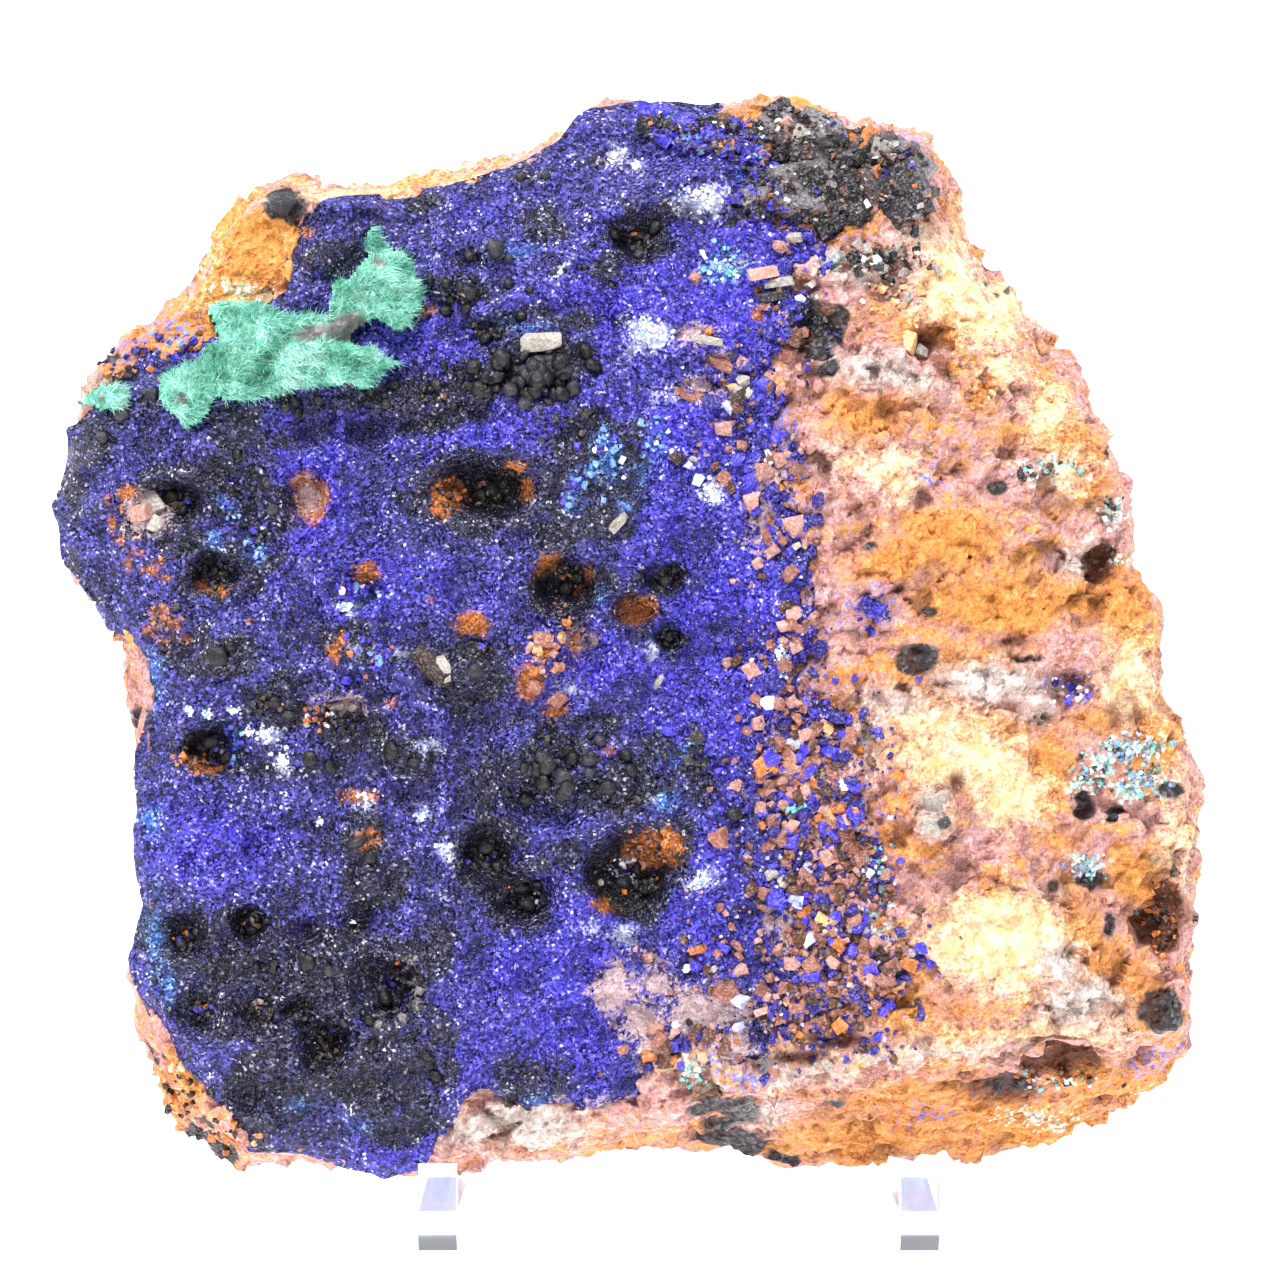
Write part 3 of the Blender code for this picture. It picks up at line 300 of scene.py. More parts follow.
def face_depth(u, w):
    """Depth of the broken face: flat in the middle, falling away outwards."""
    depth = 0.010 * np.maximum(0.0, w - 8.0) ** 2 + 0.020 * np.maximum(0.0, -u - 24.0) ** 2
    depth += 0.006 * np.maximum(0.0, u - 8.0) ** 2 + 0.020 * np.maximum(0.0, -w - 24.0) ** 2
    depth += 0.016 * np.maximum(0.0, u - 12.0) * np.maximum(0.0, w - 8.0)
    swell = [noise.noise(Vector((a / 9.0, b / 9.0, 0.0))) for a, b in zip(u, w)]
    return depth + 0.35 * np.array(swell)


def chipped(places, size, seed):
    """Height of a surface broken into tilted flat facets about size across."""
    heights = []
    for place in places / size + seed * 3.7:
        centre = noise.voronoi(Vector(place))[1][0]
        lean = noise.cell_vector(centre * 31.7) * 2.0 - Vector((1.0, 1.0, 1.0))
        heights.append((Vector(place) - centre).dot(lean) + 0.5 * lean.x)
    return np.array(heights)


def vertex_rows(items, field):
    """One row of three numbers for each vertex."""
    values = np.empty(len(items) * 3)
    items.foreach_get(field, values)
    return values.reshape(-1, 3)


def vertex_places(mesh):
    return vertex_rows(mesh.vertices, "co")


def vertex_normals(mesh):
    return vertex_rows(mesh.vertex_normals, "vector")


def put_vertices(mesh, places):
    mesh.vertices.foreach_set("co", places.ravel())
    mesh.update()


def keep_values(mesh, **values):
    """Store one number per vertex under each name, for the materials."""
    for name, numbers in values.items():
        layer = mesh.attributes.new(name, "FLOAT", "POINT")
        layer.data.foreach_set("value", np.asarray(numbers, dtype=np.float32))


def mesh_of(name, bm):
    """The finished bmesh as a mesh."""
    mesh = bpy.data.meshes.new(name)
    bm.to_mesh(mesh)
    bm.free()
    return mesh


def solid_copy(node):
    """A merged copy of a CAD node in the sight frame."""
    bm = bmesh.new()
    bm.from_mesh(frame["nodes"][node].data)
    bmesh.ops.remove_doubles(bm, verts=bm.verts, dist=1e-7)
    mesh = mesh_of(node, bm)
    put_vertices(mesh, sight(vertex_places(mesh)))
    return mesh


def skin_of(mesh):
    """The corners and faces of a mesh while it is in the sight frame."""
    return ([tuple(vertex.co) for vertex in mesh.vertices],
            [tuple(polygon.vertices) for polygon in mesh.polygons])


def tree_of(*skins):
    """What lines of sight are tested against: the faces of one or more skins."""
    corners, faces = [], []
    for skin_corners, skin_faces in skins:
        faces += [tuple(index + len(corners) for index in face) for face in skin_faces]
        corners += skin_corners
    return BVHTree.FromPolygons(corners, faces)


def evaluated(mesh, kind, **settings):
    """The mesh as one modifier leaves it."""
    carrier = bpy.data.objects.new("carrier", mesh)
    bpy.context.scene.collection.objects.link(carrier)
    modifier = carrier.modifiers.new("shape", kind)
    for name, value in settings.items():
        setattr(modifier, name, value)
    bpy.context.view_layer.update()
    depsgraph = bpy.context.evaluated_depsgraph_get()
    shaped = bpy.data.meshes.new_from_object(carrier.evaluated_get(depsgraph))
    bpy.data.objects.remove(carrier)
    return shaped


def show(name, mesh, material, slot, *nodes):
    """Bring a mesh in the sight frame into the world as one finished piece of the object."""
    put_vertices(mesh, world(vertex_places(mesh)))
    mesh.materials.clear()
    mesh.materials.append(material)
    piece = bpy.data.objects.new(name, mesh)
    bpy.context.scene.collection.objects.link(piece)
    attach(piece, "root")
    if nodes:
        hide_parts(*nodes)


rock_mesh = evaluated(
    solid_copy("matrix_rock"), "REMESH", mode="VOXEL", voxel_size=ROCK_SKIN)
rock_bm = bmesh.new()
rock_bm.from_mesh(rock_mesh)
for number in range(ROCK_SMOOTHINGS):
    bmesh.ops.smooth_vert(
        rock_bm, verts=rock_bm.verts, factor=0.5, use_axis_x=True, use_axis_y=True,
        use_axis_z=True)
places = np.array([vert.co for vert in rock_bm.verts])
rock_bm.normal_update()
facing = np.array([-vert.normal.y for vert in rock_bm.verts])
bare = (facing > 0.0) & (rim_inset(places, CRUST_RIM) < CLOSE_UP_OVERLAP)
close_up = [
    edge for edge in rock_bm.edges
    if bare[edge.verts[0].index] and bare[edge.verts[1].index]]
bmesh.ops.subdivide_edges(rock_bm, edges=close_up, cuts=1, use_grid_fill=True)
rock_bm.to_mesh(rock_mesh)
rock_bm.free()

places = vertex_places(rock_mesh)
normals = vertex_normals(rock_mesh)
seen = eased((-normals[:, 1] + 0.12) / 0.2)
face = face_depth(places[:, 0], places[:, 2])
crust_inset = torn_inset(places)
front_inset = rim_inset(places, FRONT_RIM)
on_face = (places[:, 1] < face + FACE_REACH) & (
    (front_inset > 0.8) | ((-normals[:, 1] > 0.45) & (front_inset > 0.0)))
swelling = np.zeros(len(places))
for u, w, wide, high, height in ROCK_FORMS:
    reach = np.hypot((places[:, 0] - u) / wide, (places[:, 2] - w) / high)
    swelling += height * eased((1.4 - reach) / 0.8)
bed = CRUST_BED * eased((crust_inset - 0.25) / 1.6)
places[on_face, 1] = (face - swelling + bed)[on_face]
put_vertices(rock_mesh, places)
normals = vertex_normals(rock_mesh)
bareness = eased(-crust_inset / 0.6 + 1.2)
rough = np.where(seen > 0.5, bareness, 1.0)
areas = {name: nearness(places, ovals) for name, ovals in ROCK_AREAS.items()}
smoothness = eased(areas["cream"] + 0.5) * seen
relief = rippled(places, (0.16, 2.4, 11), (0.12, 1.1, 12), (0.10, 0.55, 13)) + (
    0.5 * chipped(places, 2.6, 1) + 0.3 * chipped(places, 0.95, 2)) * (1.0 - 0.5 * smoothness)
relief -= 0.35 * eased(areas["brown"] / 0.5 + 0.3) * seen
relief -= 0.10 * eased(areas["ink"] / 0.3 + 0.3) * seen
quartz_facets = 0.15 + 0.45 * chipped(places, 1.7, 5)
relief += quartz_facets * eased(areas["quartz"] / 0.4 + 0.3) * seen
put_vertices(rock_mesh, places + normals * (relief * rough)[:, None])
keep_values(rock_mesh, hollow=relief, **{
    name: inside + UNSEEN * (1.0 - seen) for name, inside in areas.items()})
rock_skin = skin_of(rock_mesh)


def colour(red, green, blue):
    """A colour given from 0 to 255 as screens show it."""
    shares = (red / 255.0, green / 255.0, blue / 255.0)
    return tuple(s / 12.92 if s < 0.04045 else ((s + 0.055) / 1.055) ** 2.4 for s in shares)


class Flow:
    """One output of a shader node, in sums and products written as Python."""

    def __init__(self, tree, socket=None):
        self.tree = tree
        self.socket = socket

    def node(self, kind, settings=None, inputs=None, output=0):
        """The output of a new node, with its settings set first and then its inputs."""
        made = self.tree.nodes.new(kind)
        for name, value in (settings or {}).items():
            if name == "stops":
                elements = made.color_ramp.elements
                for place, shade in value[1:-1]:
                    elements.new(place)
                for element, (place, shade) in zip(elements, value):
                    element.position = place
                    element.color = (*shade, 1.0)
            elif name == "interpolation":
                made.color_ramp.interpolation = value
            else:
                setattr(made, name, value)
        for name, value in (inputs or {}).items():
            if isinstance(value, Flow):
                self.tree.links.new(value.socket, made.inputs[name])
            elif made.inputs[name].type == "RGBA":
                made.inputs[name].default_value = (*value, 1.0)
            else:
                made.inputs[name].default_value = value
        return Flow(self.tree, made.outputs[output])

    def maths(self, operation, first, second):
        return self.node("ShaderNodeMath", {"operation": operation}, {0: first, 1: second})

    def __add__(self, other):
        return self.maths("ADD", self, other)

    def __radd__(self, other):
        return self.maths("ADD", other, self)

    def __sub__(self, other):
        return self.maths("SUBTRACT", self, other)

    def __rsub__(self, other):
        return self.maths("SUBTRACT", other, self)

    def __mul__(self, other):
        return self.maths("MULTIPLY", self, other)

    def __rmul__(self, other):
        return self.maths("MULTIPLY", other, self)

    def within(self):
        """The value kept between 0 and 1."""
        return self.node("ShaderNodeClamp", None, {"Value": self})

    def vectors(self, operation, other=None, scale=1.0):
        """Vector maths with another vector, or with a plain number for SCALE."""
        inputs = {0: self, 3: scale} if operation == "SCALE" else {0: self}
        if other is not None:
            inputs[1] = other
        return self.node("ShaderNodeVectorMath", {"operation": operation}, inputs)

    def blend(self, first, second):
        """The first colour where the value is 0, and the second where it is 1."""
        return self.node(
            "ShaderNodeMix", {"data_type": "RGBA"}, {0: self, 6: first, 7: second}, 2)

    def ramp(self, *stops, interpolation="LINEAR"):
        """The colour at the value; each stop is a place from 0 to 1, red, green and blue."""
        return self.node("ShaderNodeValToRGB", {
            "interpolation": interpolation,
            "stops": [(place, colour(*shade)) for place, *shade in stops]}, {0: self})

    def kept(self, name):
        """A number stored on the mesh."""
        return self.node("ShaderNodeAttribute", {"attribute_name": name}, None, "Fac")

    def cloud(self, places, size, detail=2.0, roughness=0.55, distortion=0.0):
        """Soft noise from 0 to 1 with swells about size millimetres across."""
        return self.node("ShaderNodeTexNoise", None, {
            "Vector": places, "Scale": 1000.0 / size, "Detail": detail,
            "Roughness": roughness, "Distortion": distortion})

    def grit(self, places, size, output="Distance"):
        """Cells about size millimetres across."""
        return self.node(
            "ShaderNodeTexVoronoi", None, {"Vector": places, "Scale": 1000.0 / size}, output)

    def one(self, channel):
        """One channel of a colour, as a number."""
        return self.node("ShaderNodeSeparateColor", None, {0: self}, channel)

    def bump(self, strength, distance, **inputs):
        """The surface's normal, tilted as if the value were a height over it."""
        return self.node("ShaderNodeBump", None, {
            "Strength": strength, "Distance": distance, "Height": self, **inputs}, "Normal")


def finish_of(name, **sockets):
    """A new material, the start of its maths, the places on it, and its shader with the
    even sockets set."""
    material = bpy.data.materials.new(name)
    material.use_nodes = True
    shader = material.node_tree.nodes["Principled BSDF"]
    for socket, value in sockets.items():
        shader.inputs[socket.replace("_", " ")].default_value = value
    start = Flow(material.node_tree)
    return material, start, start.node("ShaderNodeTexCoord", output="Object"), shader


def feed(start, shader, **sockets):
    """Link what changes over the surface to the shader."""
    for socket, value in sockets.items():
        start.tree.links.new(value.socket, shader.inputs[socket.replace("_", " ")])


rock_material, start, spot, shader = finish_of(
    "broken_matrix_rock", Roughness=0.8, IOR=1.5, Coat_Roughness=0.25)
broad = start.cloud(spot, 7.0, 3.0)
slanted = start.node("ShaderNodeMapping", None, {
    "Vector": spot, "Rotation": (0.0, math.radians(-24.0), 0.0), "Scale": (0.6, 1.0, 1.5)})
patch = start.cloud(slanted, 2.6, 5.0, 0.65, 0.6)
grain = start.grit(spot, 0.14, "Color").one("Red")
speck = start.cloud(spot, 0.9, 4.0, 0.7)
dust = start.cloud(spot, 0.22, 3.0, 0.7)
tint = start.grit(spot, 0.62, "Color").one("Red")
small_cells = start.grit(spot, 0.26, "Color")
small_tint = small_cells.one("Green")
fleck = small_cells.one("Blue")
ragged = (speck - 0.5) * 1.5 + (dust - 0.5) * 0.6 + (grain - 0.5) * 0.4

pink = (tint * 0.2 + small_tint * 0.22 + grain * 0.18 + speck * 0.9 + dust * 0.3 - 0.42).ramp(
    (0.05, 104, 60, 52), (0.28, 168, 114, 104), (0.48, 196, 146, 142), (0.7, 214, 176, 178),
    (1.0, 242, 228, 228))
iron = (patch * 0.7 + small_tint * 0.18 + grain * 0.22 + speck * 0.7 + dust * 0.2 - 0.52).ramp(
    (0.02, 100, 52, 24), (0.28, 178, 104, 44), (0.5, 214, 142, 66), (0.75, 228, 168, 98),
    (1.0, 246, 216, 172))
stain = ((broad - 0.5) * 4.0 + (patch - 0.5) * 6.5 + (speck - 0.5) * 4.0
         + (fleck - 0.5) * 1.2 + 0.1).within()
shade = stain.blend(pink, iron)
rust_mask = (start.kept("limonite") * 0.7 + ragged * 1.4 + 0.45).within()
shade = rust_mask.blend(shade, iron)
# Cream: pale stone, with painted highlight on the upper rims
cream_and_highlight = (tint * 0.35 + speck * 0.5 + (patch - 0.5) * 0.8 + fleck * 0.2).ramp(
    (0.05, 200, 132, 72), (0.3, 230, 184, 122), (0.55, 240, 208, 160), (0.95, 250, 236, 212))
cream_and_highlight_mask = (start.kept("cream") * 0.6 + ragged * 1.8 + 0.4).within()
shade = cream_and_highlight_mask.blend(shade, cream_and_highlight)
glassy = (tint * 0.5 + small_tint * 0.3 + speck * 0.4 - 0.1).ramp(
    (0.05, 132, 110, 102), (0.4, 184, 164, 156), (0.7, 212, 198, 192), (1.0, 242, 238, 236))
quartz_mask = (start.kept("quartz") * 0.9 + ragged * 1.5 + 0.4).within()
shade = quartz_mask.blend(shade, glassy)
brown = (small_tint * 0.5 + dust * 0.5).ramp(
    (0.1, 44, 20, 14), (0.5, 104, 54, 30), (0.9, 160, 98, 58))
brown_mask = (start.kept("brown") * 1.6 + ragged + 0.4).within()
shade = brown_mask.blend(shade, brown)
crumb = ((speck - 0.66) * 7.0 + (grain - 0.5) * 1.5).within()
shade = (crumb * 0.45).blend(shade, colour(250, 240, 232))
mint_mask = (start.kept("mint") * 2.0 + (speck - 0.5) * 3.0 + (small_tint - 0.6) * 2.4).within()
shade = mint_mask.blend(shade, small_tint.ramp(
    (0.0, 60, 130, 124), (0.5, 128, 200, 190), (1.0, 226, 242, 242)))
blue_mask = (start.kept("blue") + (small_tint - 0.66) * 3.6 + (speck - 0.5) * 2.6).within()
shade = blue_mask.blend(shade, small_tint.ramp(
    (0.0, 26, 20, 84), (0.6, 66, 58, 180), (1.0, 140, 138, 230)))
ink_mask = (start.kept("ink") * 6.0 + ragged + 0.5).within()
shade = ink_mask.blend(shade, (small_tint * 0.6 + dust * 0.5).ramp(
    (0.1, 16, 14, 16), (0.6, 52, 48, 52), (1.0, 124, 120, 126)))
# Painted shade: dark brown laid into the rock's hollows where the relief is lowest, with
# scattered dark pores from the noise
pores_and_hollow_shade = (start.kept("hollow") * -2.2 - 0.25 + (dust - 0.5) * 1.2 + (speck - 0.5)).within()
shade = (pores_and_hollow_shade * 0.65).blend(shade, colour(84, 42, 24))
height = speck * 0.6 + dust * 0.25 + start.grit(spot, 0.4) * 0.4 + start.grit(spot, 0.14) * 0.15
feed(start, shader, Base_Color=shade, Normal=height.bump(0.9, 0.0005),
     Roughness=0.82 - quartz_mask * 0.45 - cream_and_highlight_mask * 0.2,
     Coat_Weight=quartz_mask * 0.6 + cream_and_highlight_mask * 0.15)
show("matrix_rock_body", rock_mesh, rock_material, "matrix_rock", "matrix_rock")


# Azurite crust: a druse of tiny blue crystals a millimetre or so thick, grown over the face
# and round the stone's top, left and lower rims. It is a fine skin laid over the CAD crust,
# with ringed pits, dull charcoal areas and round knobs, and a lip turned back to the rock.
CRUST_STEP = 0.2
CRUST_MARGIN = 1.0
CRUST_LIP = 1.9
CRUST_LIP_SHARES = (0.35, 0.65)
CRUST_EDGE = 0.5
CRUST_OVERHANG = 0.09
# Corners of the grid that are in this band along the edge are pulled onto it, by up to this far
EDGE_BAND = 0.16
EDGE_PULL = 0.25
# The solid's depth is read at every third step, filled in outwards and evened out
SKIN_STRIDE = 3
SKIN_FILLS = 24
SKIN_BLUR = 22
# Lines of sight start in front of the stone, and one that runs deeper than this has missed
EYE_DEPTH = -20.0
CRUST_DEEPEST = 12.0

# Ringed pits of the crust: u, w, half width, half height, depth
CRUST_PITS = [
    (-10.0, 9.4, 3.7, 2.1, 0.9), (-26.6, 4.1, 1.7, 1.6, 0.8), (-29.5, 8.6, 2.1, 1.6, 0.6),
    (-4.7, 3.4, 2.2, 2.0, 0.8), (-0.3, 1.9, 1.5, 1.1, 0.6), (1.6, 3.8, 1.5, 1.5, 0.6),
    (1.8, 0.3, 1.1, 1.1, 0.4), (-18.8, -4.7, 1.4, 1.4, 0.6), (-26.6, -6.9, 2.0, 2.1, 0.9),
    (-9.6, -13.6, 2.1, 2.2, 0.8), (-7.5, -16.2, 2.1, 2.0, 0.7), (-0.6, -14.4, 3.3, 3.0, 0.9),
    (-15.9, -21.6, 2.3, 2.4, 0.6), (-28.4, -18.7, 1.8, 1.8, 0.5), (-24.4, -17.8, 1.4, 1.4, 0.6),
    (-27.5, -23.1, 1.7, 1.7, 0.5), (-19.7, -25.0, 2.0, 2.0, 0.7), (0.0, 25.2, 2.2, 2.2, 0.5),
    (11.3, 19.8, 1.9, 1.6, 0.6), (-20.8, 9.0, 1.5, 1.9, 0.5), (-17.8, 3.1, 1.9, 1.6, 0.5),
    (-28.4, 8.6, 1.4, 1.4, 0.5), (-24.2, 8.6, 1.2, 1.2, 0.4), (-23.9, -13.0, 0.9, 0.9, 0.3),
    (-21.3, -23.1, 1.2, 1.2, 0.4), (-17.7, -17.3, 1.1, 1.0, 0.4), (-21.2, -18.0, 1.0, 0.8, 0.3),
]
# Dark knobs of the crust: u, w, radius, height
CRUST_KNOBS = [
    (-9.8, 16.8, 1.1, 0.9), (-8.0, 18.2, 1.0, 0.8), (-6.6, 16.4, 1.2, 0.9),
    (-5.2, 17.9, 1.0, 0.8), (-4.0, 16.6, 0.9, 0.7), (-8.4, 14.8, 1.0, 0.7),
    (-10.2, 15.2, 1.0, 0.8), (-12.6, 22.4, 1.0, 0.9), (-10.8, 21.9, 0.9, 0.7),
    (-9.3, 24.4, 1.0, 0.7), (-20.0, 23.8, 1.2, 0.8), (-7.4, 29.0, 0.8, 0.6),
    (-7.6, -7.4, 1.6, 0.8), (-5.2, -9.0, 1.5, 0.8), (-3.4, -7.8, 1.2, 0.7),
    (-1.4, -8.8, 1.3, 0.7), (-14.7, -7.2, 1.7, 0.8), (-20.4, -7.5, 1.1, 0.6),
    (-10.6, -1.8, 1.5, 0.9), (-26.6, -0.9, 1.6, 0.8), (-22.8, -3.8, 1.5, 0.8),
    (-17.8, -12.4, 1.3, 0.7), (-16.8, -15.0, 1.2, 0.6), (-20.6, -20.3, 1.2, 0.7),
    (-34.6, 11.6, 1.2, 0.7), (-34.0, 8.2, 1.2, 0.6), (-32.2, 13.2, 1.0, 0.6),
    (-21.9, 14.4, 0.8, 0.5), (-12.8, -24.2, 1.0, 0.5), (-23.6, -26.4, 1.4, 0.6),
    (-27.2, 12.4, 1.1, 0.5), (4.4, -6.2, 1.2, 0.5),
]
# Low swellings and troughs that run across the crust: u, w, half length, half width, turn, height
CRUST_FOLDS = [
    (-1.0, 27.0, 3.6, 0.8, 12, 0.6), (-4.5, 14.6, 5.5, 0.9, 24, 0.5),
    (-18.0, 27.2, 4.5, 0.6, -8, 0.4), (3.5, 29.2, 4.5, 0.7, 8, 0.5),
    (-16.0, 13.2, 7.0, 0.8, 3, -0.4), (-9.0, 20.8, 5.0, 0.8, 8, 0.4),
    (-22.5, 25.2, 3.0, 0.7, 30, -0.5), (2.4, 21.4, 4.6, 1.1, -60, 0.4),
    (-29.0, 16.4, 3.0, 0.7, 25, 0.4), (-11.0, 12.9, 6.0, 0.7, 12, 0.35),
    (0.5, 13.4, 3.6, 0.7, 20, 0.35), (-8.2, -28.2, 4.0, 0.9, 12, 0.5),
    (-27.4, -13.0, 3.0, 1.2, 10, 0.4), (-4.4, -26.5, 2.4, 1.2, 20, 0.4),
    (-25.6, 0.4, 4.0, 0.7, -10, 0.3), (-3.0, -11.4, 5.0, 0.8, 15, 0.4),
    (-20.5, -10.4, 5.0, 0.8, -6, 0.3),
]
# Oval areas of the crust, by what colours them
CHARCOAL = [
    (0.0, 25.0, 2.5, 2.0), (-1.8, 22.8, 1.9, 1.2), (-5.9, 25.9, 1.9, 1.2, 10),
    (-8.9, 24.5, 1.2, 0.9), (-10.6, 24.1, 0.9, 0.6), (-7.5, 29.1, 0.9, 0.6),
    (-13.4, 27.2, 1.2, 0.9), (-2.8, 30.0, 0.8, 0.6), (-19.1, 23.6, 2.1, 1.5),
    (-12.5, 21.9, 1.6, 1.0), (-10.6, 21.8, 1.4, 0.9), (3.1, 31.8, 3.1, 0.9),
    (1.4, 27.1, 3.0, 0.8, 8), (11.2, 19.7, 1.9, 1.8), (11.6, 17.0, 0.8, 0.5),
    (-21.2, 15.0, 1.9, 0.9), (-18.4, 15.2, 3.1, 1.1, 5), (-14.7, 15.0, 3.1, 1.4, 10),
    (-11.2, 15.8, 3.1, 1.9, 15), (-6.2, 17.0, 3.8, 2.2, 10), (-8.8, 19.5, 3.1, 0.9),
    (-4.7, 20.1, 3.1, 0.8), (-1.2, 19.9, 2.5, 0.6), (-25.5, 14.2, 2.5, 1.0),
    (-24.7, 12.5, 2.8, 1.5), (-11.9, 13.8, 3.8, 0.9, 10), (-34.4, 12.2, 1.5, 1.8, -20),
    (-35.5, 9.1, 1.2, 2.1), (-35.6, 4.9, 0.6, 1.0), (-34.7, 3.0, 0.9, 0.6),
    (-32.5, 14.2, 1.1, 0.8), (-30.6, 15.2, 0.9, 0.8), (-31.9, 16.4, 0.9, 0.5),
    (-29.7, 16.1, 0.9, 0.6), (-29.7, 8.4, 3.1, 2.4), (-26.6, 10.0, 3.8, 1.9),
    (-24.2, 8.4, 2.8, 2.1), (-26.2, 4.1, 3.0, 2.0), (-23.4, 6.2, 2.6, 2.2),
    (-28.8, 5.9, 1.6, 1.2), (-9.6, 9.4, 5.4, 2.8, 5), (-15.0, 9.1, 0.8, 0.6),
    (-2.5, 11.8, 3.1, 2.9), (-1.9, 8.4, 2.9, 2.1), (-4.1, 3.1, 2.9, 2.2, 10),
    (-5.3, 6.9, 1.4, 2.5, 15), (1.6, 3.8, 1.7, 1.4), (1.8, 0.0, 1.2, 1.2), (-0.3, 1.8, 2.0, 1.4),
    (-26.6, -0.9, 3.0, 1.8), (-29.4, -0.8, 1.0, 1.1), (-22.8, -3.8, 1.9, 2.0),
    (-18.1, 0.0, 2.4, 1.4), (-10.9, -2.2, 2.9, 2.1), (-18.4, -5.5, 2.5, 1.8),
    (-26.8, -6.9, 2.2, 2.0), (-23.1, -8.1, 1.8, 0.8), (-14.9, -7.2, 2.5, 1.6, -10),
    (-20.0, -7.8, 1.6, 0.8), (-17.2, -12.4, 1.8, 1.9), (-16.6, -15.0, 2.1, 1.9),
    (-8.8, -8.9, 1.8, 2.2), (-5.5, -8.1, 2.5, 2.6), (-1.2, -9.4, 3.5, 2.2),
    (-2.5, -5.1, 1.8, 0.9), (-9.6, -13.6, 2.9, 2.9), (-7.5, -16.2, 2.8, 2.4),
    (-4.9, -13.6, 1.5, 1.2), (-0.1, -14.4, 3.5, 3.1), (2.0, -12.6, 1.8, 1.5),
    (-25.5, -18.1, 2.9, 1.9), (-28.4, -18.9, 2.8, 2.4), (-23.6, -20.1, 3.5, 2.2),
    (-19.2, -20.1, 3.5, 2.6), (-15.8, -21.6, 3.2, 3.0), (-21.2, -23.9, 4.1, 2.6),
    (-26.6, -23.2, 3.0, 2.2), (-17.4, -26.4, 3.8, 2.9), (-15.0, -29.5, 2.8, 2.5),
    (-23.2, -28.2, 3.5, 2.6), (-25.0, -30.8, 2.4, 1.6), (-13.0, -25.6, 1.9, 2.5),
    (-13.1, -19.2, 1.6, 2.1), (-6.9, -27.6, 2.8, 1.8), (3.8, -8.8, 1.4, 1.9),
    (0.9, -6.6, 1.5, 0.9),
]
CORES = [
    (-9.1, 9.2, 1.9, 1.2), (-26.6, 3.9, 1.1, 1.1), (-4.7, 3.9, 1.6, 1.2), (-27.2, -7.0, 1.5, 1.4),
    (-9.6, -13.4, 1.2, 1.4), (-7.4, -16.0, 1.1, 0.9), (-0.9, -15.3, 2.6, 1.6),
    (1.8, 3.9, 0.8, 0.7), (1.8, 0.1, 0.7, 0.6), (-24.4, -17.8, 1.1, 0.9),
    (-28.4, -18.8, 0.9, 0.8), (-10.6, 21.6, 0.8, 0.6), (11.4, 19.7, 1.1, 0.8),
    (-18.8, -5.2, 0.7, 0.6), (-28.9, 8.6, 1.4, 0.8), (0.0, 25.0, 1.1, 0.8),
    (-9.4, 19.2, 1.2, 0.6), (-19.7, -25.6, 1.2, 1.4), (-23.8, -23.1, 0.9, 0.9),
    (-27.5, -23.1, 0.8, 0.8), (-17.8, -17.8, 0.8, 0.6), (-21.2, -23.0, 0.8, 0.6),
    (-15.0, -20.9, 0.6, 0.8), (-10.6, 15.9, 0.9, 0.5), (-13.1, 15.3, 0.9, 0.5),
    (-5.0, 18.1, 0.6, 0.4), (-25.6, 9.4, 0.6, 0.8), (-23.4, -3.8, 0.9, 0.8),
    (-10.0, -0.6, 0.9, 0.5), (-5.9, -5.9, 0.6, 0.6), (0.0, -10.0, 0.9, 0.4),
]
VIVID = [
    (7.5, 24.4, 4.4, 2.5), (5.1, 21.2, 5.0, 3.8), (0.3, 20.5, 3.1, 1.6), (7.8, 8.8, 3.1, 7.5),
    (5.1, 1.2, 5.6, 7.5), (-5.0, -22.5, 4.4, 5.0), (0.0, -20.0, 3.1, 1.9), (-18.1, 3.0, 2.1, 1.6),
    (-27.5, -13.1, 3.1, 2.1), (-20.8, 9.1, 3.2, 3.9), (-2.5, -1.6, 3.8, 2.5),
    (3.1, 13.1, 4.4, 3.1), (6.2, -5.3, 3.8, 3.8), (-8.8, -25.1, 3.8, 2.2),
    (-1.2, -28.2, 2.8, 1.4), (-15.9, 18.6, 2.8, 0.9), (-10.6, 13.0, 4.4, 0.8, 8),
    (-14.4, 3.8, 3.8, 2.2), (3.8, 25.6, 3.8, 0.9), (7.5, 29.4, 1.9, 1.2),
    (-12.5, -32.8, 2.5, 0.8), (-5.0, -16.9, 2.5, 1.2), (5.0, -16.2, 3.8, 3.1),
]
